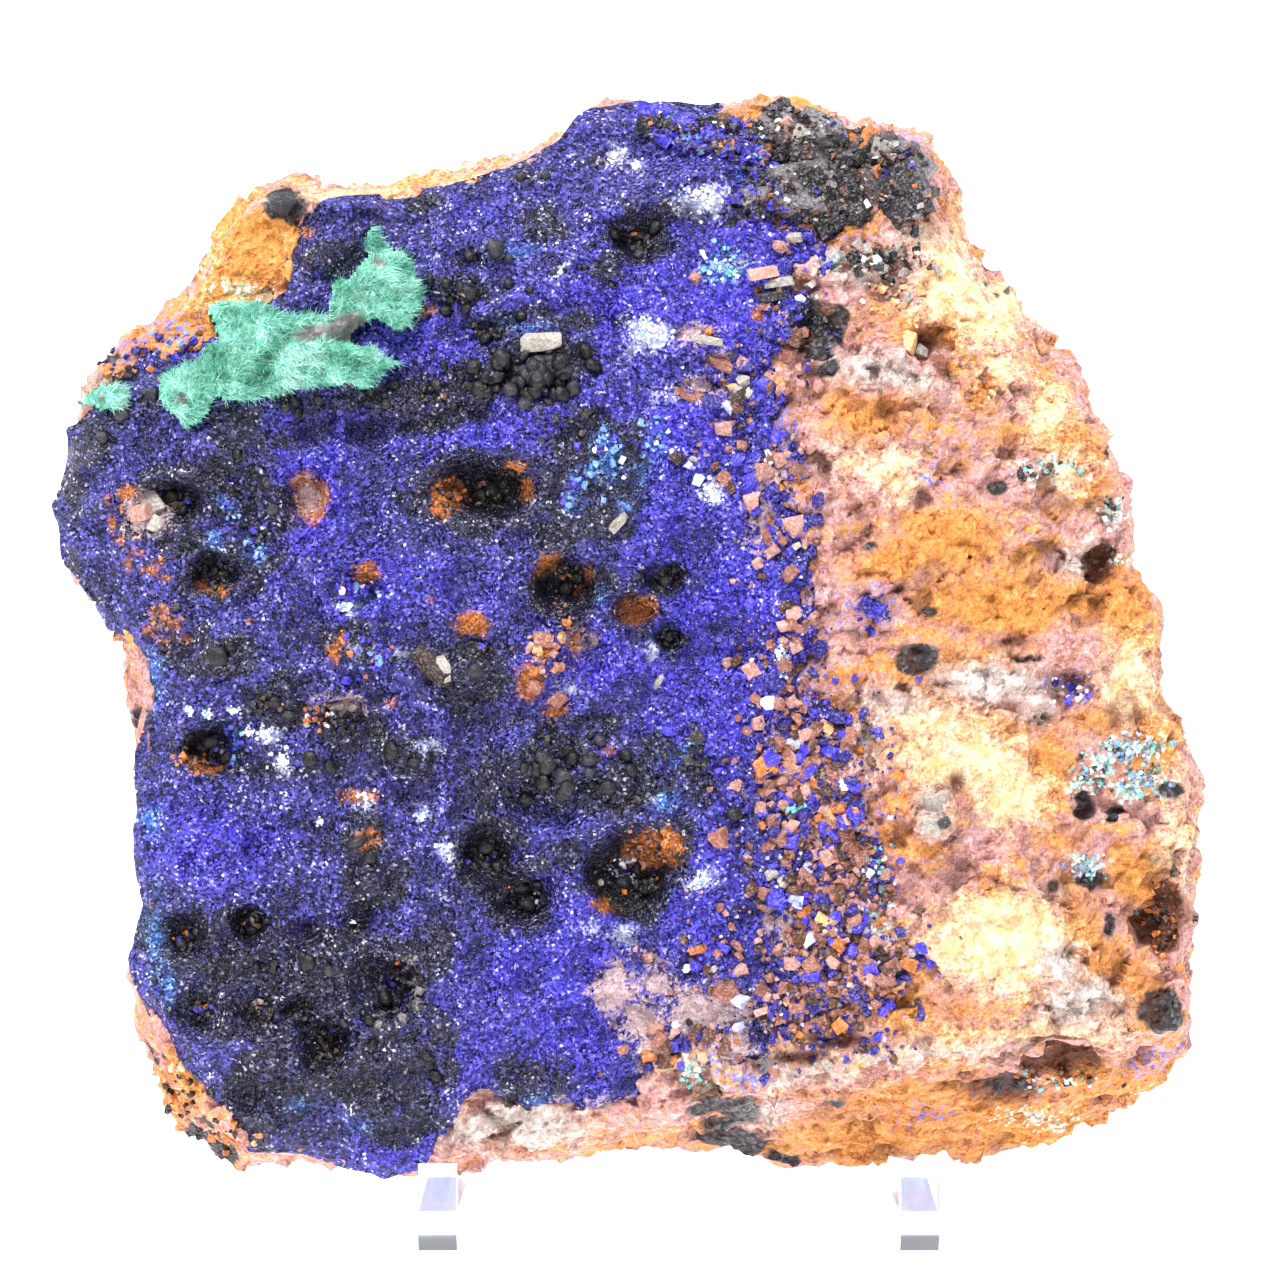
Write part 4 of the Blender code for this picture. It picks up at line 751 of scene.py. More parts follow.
RUST = [
    (-11.9, 9.2, 1.2, 1.3), (-7.2, 9.4, 0.4, 0.7), (-7.8, 10.8, 0.6, 0.4), (-20.8, 9.0, 1.2, 1.6),
    (-17.1, 4.1, 0.8, 0.6), (-18.4, 3.1, 0.5, 0.3), (-5.8, 4.6, 0.9, 0.5, 45),
    (-3.2, 4.2, 0.3, 0.6), (-3.8, 3.1, 0.3, 0.4), (-0.2, 1.8, 1.2, 0.8, 15),
    (-27.2, 3.4, 0.4, 0.4), (-26.3, 3.1, 0.5, 0.3), (-27.8, -7.8, 0.6, 0.6),
    (-26.8, -8.1, 0.5, 0.4), (0.5, -13.3, 1.6, 1.2), (-2.4, -16.6, 0.7, 0.4),
    (1.8, -13.1, 0.9, 1.1), (-29.2, 1.1, 0.5, 0.3, -30), (-30.6, 0.6, 0.5, 0.3),
    (-29.7, 0.0, 0.4, 0.2), (-30.0, 1.9, 0.5, 0.3), (-28.4, 0.0, 0.3, 0.2),
    (-5.3, -4.4, 0.7, 0.6, 20), (-6.9, -2.6, 0.9, 1.2), (-3.9, 0.0, 0.5, 0.9),
    (-5.9, -0.8, 0.6, 0.6), (-31.9, 9.2, 0.6, 0.6), (-32.5, 6.2, 0.3, 0.4),
    (-31.5, 5.5, 0.4, 0.2), (-32.0, 4.8, 0.2, 0.3), (-31.2, 6.6, 0.2, 0.2),
    (-33.0, 7.5, 0.2, 0.4), (-30.6, 4.4, 0.4, 0.2), (-29.6, 3.9, 0.3, 0.2),
    (-30.0, 5.0, 0.2, 0.2), (-33.2, 8.8, 0.2, 0.2), (-32.4, 8.2, 0.2, 0.2),
    (-19.1, -0.9, 0.4, 0.6), (-12.6, 8.3, 0.6, 0.6), (7.2, 20.3, 0.4, 0.4),
    (-16.9, -12.5, 0.6, 0.7), (-17.5, -9.8, 1.2, 0.4), (-13.4, 20.6, 0.6, 0.3),
    (-21.1, 25.5, 0.6, 0.4), (-10.6, 0.9, 1.2, 0.8), (-4.4, -30.0, 0.9, 0.5),
    (-18.4, 0.0, 0.4, 0.4), (-13.1, 2.5, 0.2, 0.2), (-15.5, -3.8, 0.3, 0.2),
    (-1.9, -6.9, 0.3, 0.2), (-24.4, 1.2, 0.2, 0.2),
]
PALE = [
    (-1.8, -21.9, 1.5, 1.5), (0.0, -23.8, 1.6, 1.4), (1.2, -21.6, 1.0, 0.9),
    (3.1, -26.4, 2.8, 2.2), (0.9, -25.6, 1.0, 1.1), (4.1, -23.2, 3.1, 1.4),
    (5.9, -25.0, 1.2, 1.1), (0.5, -20.0, 0.9, 0.4, -10), (-2.5, -21.6, 0.8, 0.8),
    (-20.8, 9.0, 0.8, 1.1), (-30.6, 8.0, 1.4, 1.2), (-18.6, -4.1, 1.1, 0.5),
    (5.5, -22.0, 1.1, 0.8), (0.0, -29.5, 2.5, 0.9), (-4.1, -29.5, 1.2, 0.6),
    (-3.1, 0.0, 0.5, 0.6), (6.6, -27.2, 1.2, 0.6), (10.0, -7.5, 2.2, 2.5),
    (12.2, -12.8, 2.5, 3.4), (10.3, -17.8, 2.8, 2.1), (12.5, -16.2, 1.9, 1.9),
    (10.9, -23.8, 2.5, 1.5), (-1.8, 30.3, 0.5, 0.5), (8.4, 10.6, 0.9, 1.2), (7.5, 7.5, 0.8, 1.4),
    (3.8, 15.6, 1.5, 0.6), (4.7, 17.5, 0.9, 0.4), (3.1, 19.1, 1.2, 0.5),
]
WHITE = [
    (0.6, 19.4, 1.6, 0.9, -15), (4.4, 9.4, 0.9, 0.8, 40), (9.1, -1.2, 0.5, 1.2),
    (4.1, 27.5, 2.0, 0.9), (-18.4, 2.1, 0.6, 0.5), (3.9, -15.0, 1.1, 0.6, 20),
    (-1.2, -18.4, 1.2, 0.8), (-13.4, -10.8, 0.5, 0.5), (-12.2, -13.1, 0.6, 0.6),
    (-17.2, -10.4, 0.5, 0.4), (-1.4, 30.3, 0.8, 0.7), (0.0, 29.6, 0.5, 0.4),
    (-5.0, 23.0, 0.6, 0.2, 40), (-23.2, -6.0, 0.8, 0.6), (-22.3, -7.8, 0.5, 0.7),
    (-13.4, -6.6, 0.6, 0.3), (1.9, 15.3, 0.8, 0.4), (0.0, 18.4, 1.0, 0.5),
    (-15.0, -0.9, 0.5, 0.4), (-17.8, -0.6, 0.4, 0.3), (-4.2, -3.1, 0.4, 0.9, 60),
    (5.9, 23.6, 0.5, 0.4), (6.6, 28.1, 0.5, 0.3), (-21.2, 5.0, 0.4, 0.2), (-18.8, 10.0, 0.3, 0.2),
    (-3.1, -18.1, 0.6, 0.5), (0.9, -0.9, 0.4, 0.6, 20), (0.6, -10.0, 0.4, 0.3),
]
AZURE = [
    (7.2, 29.2, 1.2, 1.1), (-2.0, 11.6, 0.8, 1.8, 10), (0.9, 12.5, 0.6, 1.1),
    (-4.1, 9.2, 0.6, 1.1), (-25.9, 8.6, 0.7, 0.9), (-24.0, 5.9, 0.8, 1.1),
    (-30.3, -2.5, 0.6, 1.8), (-30.6, -11.2, 0.6, 1.1), (-30.2, -18.4, 0.6, 2.4),
    (-29.5, -21.6, 0.6, 1.0), (-17.5, 3.1, 1.2, 0.6), (-18.1, 2.3, 0.9, 0.6),
    (-25.5, -6.6, 0.7, 1.1), (2.6, -7.0, 1.4, 0.6), (1.4, -10.1, 1.0, 0.7),
    (-8.1, 24.4, 1.2, 0.5), (-7.4, 19.6, 1.6, 0.4), (-14.5, -0.8, 0.5, 0.3),
    (5.1, 23.4, 1.5, 1.0), (0.0, 10.0, 0.6, 1.1), (-3.1, 10.6, 0.6, 0.6), (-0.9, 8.4, 0.5, 0.6),
    (-17.5, -30.3, 0.8, 0.5), (-21.2, -29.1, 0.9, 0.5), (-2.5, 2.5, 0.5, 0.4),
    (-6.2, -28.8, 0.6, 0.4), (-26.8, 6.2, 0.5, 0.5),
]
CRUST_AREAS = {
    "charcoal": CHARCOAL, "core": CORES, "vivid": VIVID, "rust": RUST, "pale": PALE,
    "white": WHITE, "azure": AZURE}


def extent(rim, margin):
    """The left, right, low and high limits of a rim, with a margin all round."""
    u, w = zip(*rim)
    return min(u) - margin, max(u) + margin, min(w) - margin, max(w) + margin


def blurred(grid, passes):
    """A grid of numbers evened out by passes of a small filter."""
    for number in range(passes):
        grid = np.pad(grid, 1, mode="edge")
        grid = (grid[:-2] + 2.0 * grid[1:-1] + grid[2:]) / 4.0
        grid = (grid[:, :-2] + 2.0 * grid[:, 1:-1] + grid[:, 2:]) / 4.0
    return grid


def crust_relief(places):
    """Height of pits, knobs, folds and druse over the even crust."""
    u, w = places[:, 0], places[:, 2]
    crests = 1.0 - np.abs(ripple(places, 3.4, 26))
    height = 0.7 * crests * crests - 0.36 + 0.3 * ripple(places, 1.5, 21)
    height += 0.2 * ripple(places, 0.75, 22) + 0.12 * ripple(places, 0.42, 23)
    for pit_u, pit_w, wide, high, depth in CRUST_PITS:
        wobble = 0.22 * ripple(places, 1.2, 24)
        reach = np.hypot((u - pit_u) / wide, (w - pit_w) / high) + wobble
        height -= depth * eased((0.95 - reach) / 0.45)
        height += 0.34 * np.exp(-((reach - 1.15) / 0.2) ** 2)
    for knob_u, knob_w, radius, rise in CRUST_KNOBS:
        reach = np.hypot(u - knob_u, w - knob_w) / radius
        height += 0.75 * rise * np.sqrt(np.maximum(0.0, 1.0 - reach * reach))
    for fold_u, fold_w, length, width, turn, rise in CRUST_FOLDS:
        along, across = turned(u - fold_u, w - fold_w, turn)
        across = across / width + 0.5 * ripple(places, 2.0, 25)
        height += 1.7 * rise * np.exp(-(along / length) ** 2 * 1.5 - across ** 2)
    return height


def sighted(tree, u, w):
    """Where one line of sight meets a surface, and the surface's normal there."""
    return tree.ray_cast(Vector((u, EYE_DEPTH, w)), Vector((0.0, 1.0, 0.0)))[:2]


def lipped(bm, *steps):
    """Turn an open sheet to the front, and carry its border back into the stone in steps."""
    bmesh.ops.recalc_face_normals(bm, faces=bm.faces)
    bm.normal_update()
    if sum(patch.normal.y for patch in bm.faces) > 0.0:
        bmesh.ops.reverse_faces(bm, faces=bm.faces)
    border = [edge for edge in bm.edges if edge.is_boundary]
    for step in steps:
        lip = bmesh.ops.extrude_edge_only(bm, edges=border)["geom"]
        border = [
            item for item in lip if isinstance(item, bmesh.types.BMEdge) and item.is_boundary]
        moved = [item for item in lip if isinstance(item, bmesh.types.BMVert)]
        bmesh.ops.translate(bm, vec=(0.0, step, 0.0), verts=moved)


crust_solid_tree = tree_of(skin_of(solid_copy("azurite_crust")))
low_u, high_u, low_w, high_w = extent(CRUST_RIM, CRUST_MARGIN)
columns = int((high_u - low_u) / CRUST_STEP) + 1
rows = int((high_w - low_w) / CRUST_STEP) + 1
skin_depth = np.full((rows, columns), np.nan)
for row in range(0, rows, SKIN_STRIDE):
    for column in range(0, columns, SKIN_STRIDE):
        hit = sighted(
            crust_solid_tree, low_u + column * CRUST_STEP, low_w + row * CRUST_STEP)[0]
        if hit is not None and hit.y < CRUST_DEEPEST:
            skin_depth[row:row + SKIN_STRIDE, column:column + SKIN_STRIDE] = hit.y
missed = np.isnan(skin_depth)
known = np.where(missed, 0.0, skin_depth)
weight = np.where(missed, 0.0, 1.0)
for number in range(SKIN_FILLS):
    known, weight = blurred(known, 1), blurred(weight, 1)
    filled = known / np.maximum(weight, 1e-9)
    known = np.where(missed, known, skin_depth)
    weight = np.where(missed, weight, 1.0)
skin_depth = blurred(np.where(missed, filled, skin_depth), SKIN_BLUR)

crust_bm = bmesh.new()
bmesh.ops.create_grid(
    crust_bm, x_segments=columns - 1, y_segments=rows - 1, size=0.5)
grid_places = np.array([vert.co for vert in crust_bm.verts])
column_of = np.rint((grid_places[:, 0] + 0.5) * (columns - 1)).astype(int)
row_of = np.rint((grid_places[:, 1] + 0.5) * (rows - 1)).astype(int)
flat = np.column_stack((
    low_u + column_of * CRUST_STEP, np.zeros(len(grid_places)), low_w + row_of * CRUST_STEP))
inset = torn_inset(flat)
inset_grid = np.zeros((rows, columns))
inset_grid[row_of, column_of] = inset
slope_w, slope_u = np.gradient(inset_grid, CRUST_STEP)
steep = slope_w ** 2 + slope_u ** 2 + 0.05
shift = np.clip(inset_grid / steep, -EDGE_PULL, EDGE_PULL)
on_edge = np.abs(inset) < EDGE_BAND
flat[on_edge, 0] -= (slope_u * shift)[row_of, column_of][on_edge]
flat[on_edge, 2] -= (slope_w * shift)[row_of, column_of][on_edge]
rise = crust_relief(flat)
rise -= 0.25 * eased(nearness(flat, CORES) / 0.6 + 0.4)
rise += 0.10 * eased(nearness(flat, WHITE) / 0.4 + 0.4)
rise -= 0.45 * eased(nearness(flat, PALE) / 0.35 + 0.5)
rise -= CRUST_EDGE * (1.0 - eased(inset / 0.9)) ** 2
flat[:, 1] = skin_depth[row_of, column_of] - rise
for vert, place in zip(crust_bm.verts, flat):
    vert.co = place
outside = inset < -CRUST_OVERHANG
bmesh.ops.delete(
    crust_bm, geom=[vert for vert in crust_bm.verts if outside[vert.index]], context="VERTS")
loose = [vert for vert in crust_bm.verts if not vert.link_faces]
bmesh.ops.delete(crust_bm, geom=loose, context="VERTS")
lipped(crust_bm, *[share * CRUST_LIP for share in CRUST_LIP_SHARES])
crust_mesh = mesh_of("azurite_druse", crust_bm)
crust_places = vertex_places(crust_mesh)
crust_skin = skin_of(crust_mesh)
crust_tree, whole_tree = tree_of(crust_skin), tree_of(crust_skin, rock_skin)

# Most crystals are dark and a few get a near-white base colour, a painted glint: the power a
# random number is raised to
GRAIN_DIMNESS = 1.7
# Charcoal is no duller than it is this far inside its areas
CHARCOAL_LIMIT = 0.6


def zones(places):
    """How far each place is inside the crust's differently coloured areas."""
    found = {name: nearness(places, ovals) for name, ovals in CRUST_AREAS.items()}
    found["charcoal"] = np.minimum(found["charcoal"], CHARCOAL_LIMIT)
    return found


keep_values(crust_mesh, hollow=crust_relief(crust_places), **zones(crust_places))


def azurite_finish(name, loose_grains):
    """Blue druse, dulled to charcoal in places, with rust, bare rock and pale crystals;
    near-white painted glints on a few crystals, and on the sheet painted shade in its hollows.
    """
    material, start, spot, shader = finish_of(
        name, IOR=1.73, Specular_IOR_Level=0.5 if loose_grains else 0.14)
    broad = start.cloud(spot, 5.0, 3.0)
    patch = start.cloud(spot, 1.6, 3.0, 0.6)
    speck = start.cloud(spot, 0.5, 2.0, 0.6)
    cells = start.grit(spot, 0.16, "Color")
    tone = start.kept("tone")
    if not loose_grains:
        tone = start.maths("POWER", cells.one("Red"), GRAIN_DIMNESS)
    other = start.kept("lot") if loose_grains else cells.one("Green")
    ragged = (patch - 0.5) * 0.9 + (speck - 0.5) * 1.3 + (other - 0.5) * 0.6

    vivid_mask = (start.kept("vivid") * 0.16 + (broad - 0.5) * 1.8 + 0.42).within()
    # The top of each ramp below is a painted glint: near-white base colour on the few crystals
    # whose tone is highest
    glint = tone * 0.9 + (speck - 0.5) * 0.35 + (patch - 0.5) * 0.55
    deep = glint.ramp(
        (0.0, 7, 7, 22), (0.2, 38, 35, 94), (0.5, 70, 66, 150), (0.78, 98, 94, 196),
        (0.9, 168, 166, 230), (1.0, 250, 250, 255))
    bright = glint.ramp(
        (0.0, 14, 10, 70), (0.2, 48, 38, 158), (0.5, 76, 65, 216), (0.78, 106, 94, 246),
        (0.9, 172, 168, 252), (1.0, 252, 252, 255))
    shade = vivid_mask.blend(deep, bright)
    dull = glint.ramp(
        (0.0, 4, 4, 8), (0.25, 26, 25, 38), (0.6, 52, 50, 72), (0.84, 100, 98, 128),
        (1.0, 232, 232, 244))
    dark_mask = (start.kept("charcoal") * 1.5 + (patch - 0.5) * 3.4 + ragged * 0.7 + 0.3).within()
    shade = (dark_mask * 0.95).blend(shade, dull)
    soot = (tone * 0.9).ramp((0.0, 6, 6, 8), (0.6, 26, 25, 28), (1.0, 92, 90, 96))
    core_mask = (start.kept("core") * 1.6 + ragged + 0.45).within()
    shade = core_mask.blend(shade, soot)
    azure_mask = (start.kept("azure") * 1.3 + ragged * 1.7 + 0.1).within()
    shade = azure_mask.blend(shade, tone.ramp(
        (0.0, 24, 50, 130), (0.5, 62, 116, 204), (1.0, 160, 214, 238)))
    rusty = (tone * 0.7 + speck * 0.3).ramp(
        (0.0, 84, 40, 18), (0.5, 178, 100, 42), (1.0, 232, 164, 100))
    rust_mask = (start.kept("rust") * 3.0 + ragged * 1.8 + 0.4).within()
    shade = rust_mask.blend(shade, rusty)
    stone = (tone * 0.45 + speck * 0.55).ramp(
        (0.0, 112, 86, 92), (0.4, 178, 150, 154), (1.0, 230, 212, 218))
    pale_mask = (start.kept("pale") * 1.8 + ragged * 2.2 + (patch - 0.5) * 1.6 + 0.35).within()
    shade = pale_mask.blend(shade, stone)
    frost = (tone * 0.7 + speck * 0.3).ramp(
        (0.0, 110, 112, 190), (0.45, 190, 194, 228), (1.0, 250, 250, 255))
    white_mask = (start.kept("white") * 2.2 + ragged * 2.2 + 0.15).within()
    shade = white_mask.blend(shade, frost)
    gleam = 0.2 + other * 0.2 + core_mask * 0.1 + pale_mask * 0.3
    if loose_grains:
        feed(start, shader, Base_Color=shade, Roughness=gleam)
        return material
    hollow = (start.kept("hollow") * -1.5 + 0.1 + (speck - 0.5) * 0.6).within()
    shadow = hollow * (0.78 - pale_mask * 0.6 - rust_mask * 0.4).within()
    shade = shadow.blend(shade, colour(15, 13, 22))
    tilt = cells.vectors("SUBTRACT", start.node(
        "ShaderNodeCombineXYZ", None, {0: 0.5, 1: 0.5, 2: 0.5}))
    facet = start.node("ShaderNodeNewGeometry", output="Normal").vectors(
        "ADD", tilt.vectors("SCALE", scale=0.75)).vectors("NORMALIZE")
    height = speck * 0.5 + start.grit(spot, 0.16) * 0.6
    feed(start, shader, Base_Color=shade, Roughness=gleam,
         Normal=height.bump(0.6, 0.0002, Normal=facet))
    return material


crust_material = azurite_finish("azurite_druse", False)
show("azurite_druse", crust_mesh, crust_material, "azurite", "azurite_crust")


# Loose crystals of the druse: tens of thousands of azurite slivers, less than a tenth of a
# millimetre long, that stand out of the crust at all angles. Each has three sides and a point
# at both ends. They are rooted on the crust and joined into two pieces.
GRAIN_PIECES = 2
GRAINS_PER_PIECE = 32500
GRAIN_TRIES = 2.1
GRAIN_LEAN = 0.55
GRAIN_LENGTHS = (0.042, 0.082)
GRAIN_WIDTHS = (0.031, 0.05)
# A line of sight that meets nothing before this depth has missed the front of the stone
DEEPEST = 16.0


def template(bm):
    """The vertex places and triangles of a small shape, ready to be repeated."""
    bmesh.ops.triangulate(bm, faces=bm.faces)
    bmesh.ops.recalc_face_normals(bm, faces=bm.faces)
    bm.verts.index_update()
    corners = np.array([vert.co for vert in bm.verts])
    triangles = np.array([[vert.index for vert in facet.verts] for facet in bm.faces])
    bm.free()
    return corners, triangles


def repeated(name, shape, centres, axes, sizes, **values):
    """One mesh of many copies of a shape, each along its own axes, with a value per copy."""
    corners, triangles = shape
    placed = np.einsum("nkc,vk,nk->nvc", axes, corners, sizes) + centres[:, None, :]
    count, width = len(centres), len(corners)
    faces = triangles[None, :, :] + (np.arange(count) * width)[:, None, None]
    mesh = bpy.data.meshes.new(name)
    mesh.vertices.add(count * width)
    mesh.vertices.foreach_set("co", placed.ravel())
    mesh.loops.add(faces.size)
    mesh.loops.foreach_set("vertex_index", faces.ravel().astype(np.int32))
    mesh.polygons.add(faces.size // 3)
    mesh.polygons.foreach_set("loop_start", np.arange(0, faces.size, 3, dtype=np.int32))
    mesh.update(calc_edges=True)
    mesh.shade_flat()
    keep_values(mesh, **{key: np.repeat(value, width) for key, value in values.items()})
    return mesh


def resting(tree, u, w):
    """Where lines of sight meet a surface, the surface's normals there, and which ones do."""
    spots, normals, met = [], [], []
    for a, b in zip(u, w):
        hit, normal = sighted(tree, a, b)
        met.append(hit is not None and hit.y < DEEPEST)
        spots.append(tuple(hit) if hit is not None else (a, 0.0, b))
        normals.append(tuple(normal) if normal is not None else (0.0, -1.0, 0.0))
    return np.array(spots), np.array(normals), np.array(met)


def unit(rows):
    """Each row made one long."""
    return rows / np.linalg.norm(rows, axis=1)[:, None]


def pointing(draw, directions):
    """Three crossed axes per copy, the last one along its direction."""
    long_axis = unit(directions)
    side = unit(np.cross(long_axis, draw.normal(size=directions.shape)))
    return np.stack((side, np.cross(long_axis, side), long_axis), axis=1)


def standing(draw, normals, spread):
    """Three crossed axes per copy, the last one leaning at random about the normal."""
    return pointing(draw, normals + spread * draw.normal(size=normals.shape))


grain_bm = bmesh.new()
bmesh.ops.create_uvsphere(grain_bm, u_segments=3, v_segments=2, radius=1.0)
grain_shape = template(grain_bm)
grain_material = azurite_finish("azurite_crystals", True)
draw = np.random.default_rng(7)
for number in range(GRAIN_PIECES):
    tries = int(GRAINS_PER_PIECE * GRAIN_TRIES)
    u = draw.uniform(low_u, low_u + columns * CRUST_STEP, tries)
    w = draw.uniform(low_w, low_w + rows * CRUST_STEP, tries)
    spots, normals, met = resting(crust_tree, u, w)
    spots, normals = spots[met][:GRAINS_PER_PIECE], normals[met][:GRAINS_PER_PIECE]
    count = len(spots)
    clump = 0.85 + 0.35 * ripple(spots, 1.8, 41)
    sizes = np.column_stack((
        draw.uniform(*GRAIN_WIDTHS, count), draw.uniform(*GRAIN_WIDTHS, count),
        draw.uniform(*GRAIN_LENGTHS, count))) * clump[:, None]
    grains = repeated(
        f"azurite_crystals_{number + 1}", grain_shape, spots,
        standing(draw, normals, GRAIN_LEAN), sizes,
        tone=draw.uniform(size=count) ** GRAIN_DIMNESS, lot=draw.uniform(size=count),
        **zones(spots))
    show(grains.name, grains, grain_material, "azurite")


# Black beads and lumps: round grains of manganese and iron oxide that sit on the crust and in
# its pits, alone or in clusters. Each is a small uneven ball sunk well into the surface.
BEAD_LIFT = 0.25
BEAD_LEAN = 0.2
BEAD_SCALE = 0.72
BEAD_SQUASH = (1.0, 1.0, 0.8)
# Single beads: u, w, radius
BEAD_SPOTS = [
    (-12.2, 22.3, 0.62), (-10.7, 21.7, 0.72), (-10.6, 24.0, 0.62), (-9.1, 24.4, 0.85),
    (-10.0, 15.6, 0.9), (-7.8, 16.0, 0.8), (-7.2, 14.7, 0.8), (-8.6, 17.6, 0.8),
    (-6.6, 17.0, 0.9), (-5.0, 17.4, 0.8), (-3.4, 18.0, 0.7), (-9.6, 18.8, 0.7),
    (-22.2, 14.5, 0.45), (-21.4, 14.2, 0.5), (-20.1, 15.0, 0.5), (-10.3, -1.9, 0.85),
    (5.9, -10.9, 0.7), (-13.1, 22.6, 0.5), (-9.2, 9.3, 0.75), (-8.4, 9.8, 0.6), (-9.9, 9.0, 0.55),
    (-4.6, 3.2, 0.7), (-3.9, 3.9, 0.5), (-26.6, 4.3, 0.6), (-26.9, -6.4, 0.7), (-25.8, -7.4, 0.6),
    (-9.6, -13.0, 0.8), (-8.9, -14.2, 0.6), (-7.4, -15.4, 0.7), (-7.0, -16.5, 0.8),
    (-6.4, -15.2, 0.5), (-1.0, -15.2, 0.7), (0.4, -15.6, 0.6), (-0.2, -14.2, 0.5),
    (-26.4, -1.0, 0.9), (-25.6, -0.4, 0.6), (-22.8, -3.9, 0.8), (-22.0, -4.6, 0.6),
    (-15.4, -7.0, 0.9), (-14.2, -7.6, 0.7), (-20.6, -7.4, 0.7), (-19.4, -7.9, 0.6),
    (-17.8, -12.6, 0.8), (-16.9, -13.6, 0.6), (-20.8, -20.2, 0.75), (-24.3, -18.2, 0.55),
    (-28.7, -19.0, 0.5), (-16.0, -22.4, 0.8), (-17.0, -23.8, 0.6), (-19.6, -25.6, 0.7),
    (-6.0, -8.8, 0.9), (-4.8, -9.6, 0.8), (-3.2, -7.6, 0.7), (-2.0, -9.2, 0.8), (-0.6, -8.2, 0.7),
    (1.6, 3.6, 0.6), (2.2, 4.4, 0.5), (1.8, 0.2, 0.6), (-22.4, 27.2, 1.5), (-1.6, 25.4, 0.6),
    (-0.4, 24.4, 0.5), (0.9, 25.8, 0.6), (-31.9, 16.4, 0.6), (-29.8, 16.2, 0.5),
    (-30.5, 15.4, 0.6), (-32.4, 14.0, 0.7), (-33.6, 12.6, 0.7), (-29.3, 8.9, 0.7),
    (-28.6, 8.0, 0.6), (3.1, -23.9, 0.35), (-5.9, 29.0, 0.5), (-7.5, 28.9, 0.5),
    (-12.2, 20.6, 0.6), (-7.4, 20.2, 0.5),
]
# Loose drifts and dense masses of beads: u, w, half width, half height, how many
BEAD_DRIFTS = [
    (-8.6, 17.0, 4.2, 2.6, 34), (-10.5, 21.8, 3.4, 1.6, 14), (-17.5, 15.0, 5.5, 1.0, 12),
    (-3.0, 24.0, 4.5, 2.5, 12), (-4.8, -8.4, 4.6, 2.4, 22), (-22.0, -21.0, 6.0, 4.5, 30),
    (-24.0, 9.0, 4.0, 3.0, 12), (-9.6, 9.4, 3.2, 1.8, 8), (-16.0, -25.0, 3.0, 3.0, 10),
]
BEAD_MASSES = [(-6.6, 16.4, 3.0, 1.7, 44), (-5.0, -8.4, 2.4, 1.2, 14)]
bead_material, start, spot, shader = finish_of(
    "black_oxide_beads", IOR=1.5, Specular_IOR_Level=0.35)
speck = start.cloud(spot, 0.3, 3.0, 0.7)
tone = start.kept("tone")
shade = (tone * 0.6 + speck * 0.5 - 0.1).ramp(
    (0.0, 8, 8, 9), (0.5, 30, 29, 33), (0.8, 60, 58, 66), (1.0, 126, 122, 138))
feed(start, shader, Base_Color=shade, Roughness=0.18 + speck * 0.3,
     Normal=speck.bump(0.7, 0.0002))

bead_bm = bmesh.new()
bmesh.ops.create_icosphere(bead_bm, subdivisions=2, radius=1.0)
for vert in bead_bm.verts:
    vert.co *= 1.0 + 0.45 * noise.noise(vert.co * 1.9) + 0.2 * noise.noise(vert.co * 4.0)
bead_shape = template(bead_bm)
draw = np.random.default_rng(11)
bead_places = [np.array([(u, w) for u, w, radius in BEAD_SPOTS])]
bead_sizes = [BEAD_SCALE * np.array([radius for u, w, radius in BEAD_SPOTS])]
for heaps, least, more, power in ((BEAD_DRIFTS, 0.14, 0.3, 2), (BEAD_MASSES, 0.28, 0.34, 1)):
    for u, w, wide, high, count in heaps:
        bead_places.append(draw.normal(size=(count, 2)) * (0.5 * wide, 0.5 * high) + (u, w))
        bead_sizes.append(least + more * draw.uniform(size=count) ** power)
radii = np.concatenate(bead_sizes)
spots, normals, met = resting(whole_tree, *np.concatenate(bead_places).T)
spots, normals, radii = spots[met], normals[met], radii[met]
sizes = radii[:, None] * draw.uniform(0.8, 1.15, (len(radii), 3)) * BEAD_SQUASH
spots = spots + normals * (BEAD_LIFT * radii)[:, None]
beads = repeated(
    "oxide_beads", bead_shape, spots, standing(draw, normals, BEAD_LEAN), sizes,
    tone=draw.uniform(size=len(radii)))
beads.polygons.foreach_set("use_smooth", [True] * len(beads.polygons))
show(beads.name, beads, bead_material, "azurite")


# Broken chips: grains of pink rock, quartz and azurite strewn along the ragged side of the
# crust and in small clusters over the whole face. Each is a slab or a lump with a few flat
# faces, laid on the crust or the rock, and all are joined into one piece.
CHIP_KINDS = 6
FIRST_CHIP_SEED = 100
# Fine blue grit lies on these of the strips
BLUE_GRIT = slice(1, 6)
# Strips of rubble: u, w, half width, half height, how many
PEBBLE_STRIPS = [
    (8.6, 10.0, 3.0, 9.0, 150), (9.0, -1.0, 2.6, 7.0, 150), (10.5, -9.0, 3.6, 5.0, 420),
    (11.0, -15.5, 3.6, 4.5, 420), (11.0, -22.5, 4.4, 3.2, 330), (5.0, 15.0, 2.8, 4.0, 90),
    (14.0, -20.0, 3.6, 3.6, 200), (9.5, 20.0, 2.6, 5.0, 90), (4.0, -20.0, 3.2, 3.6, 90),
    (2.0, -25.5, 3.6, 1.6, 60), (10.6, -9.0, 2.6, 4.0, 260), (12.2, -14.0, 2.4, 4.0, 260),
]
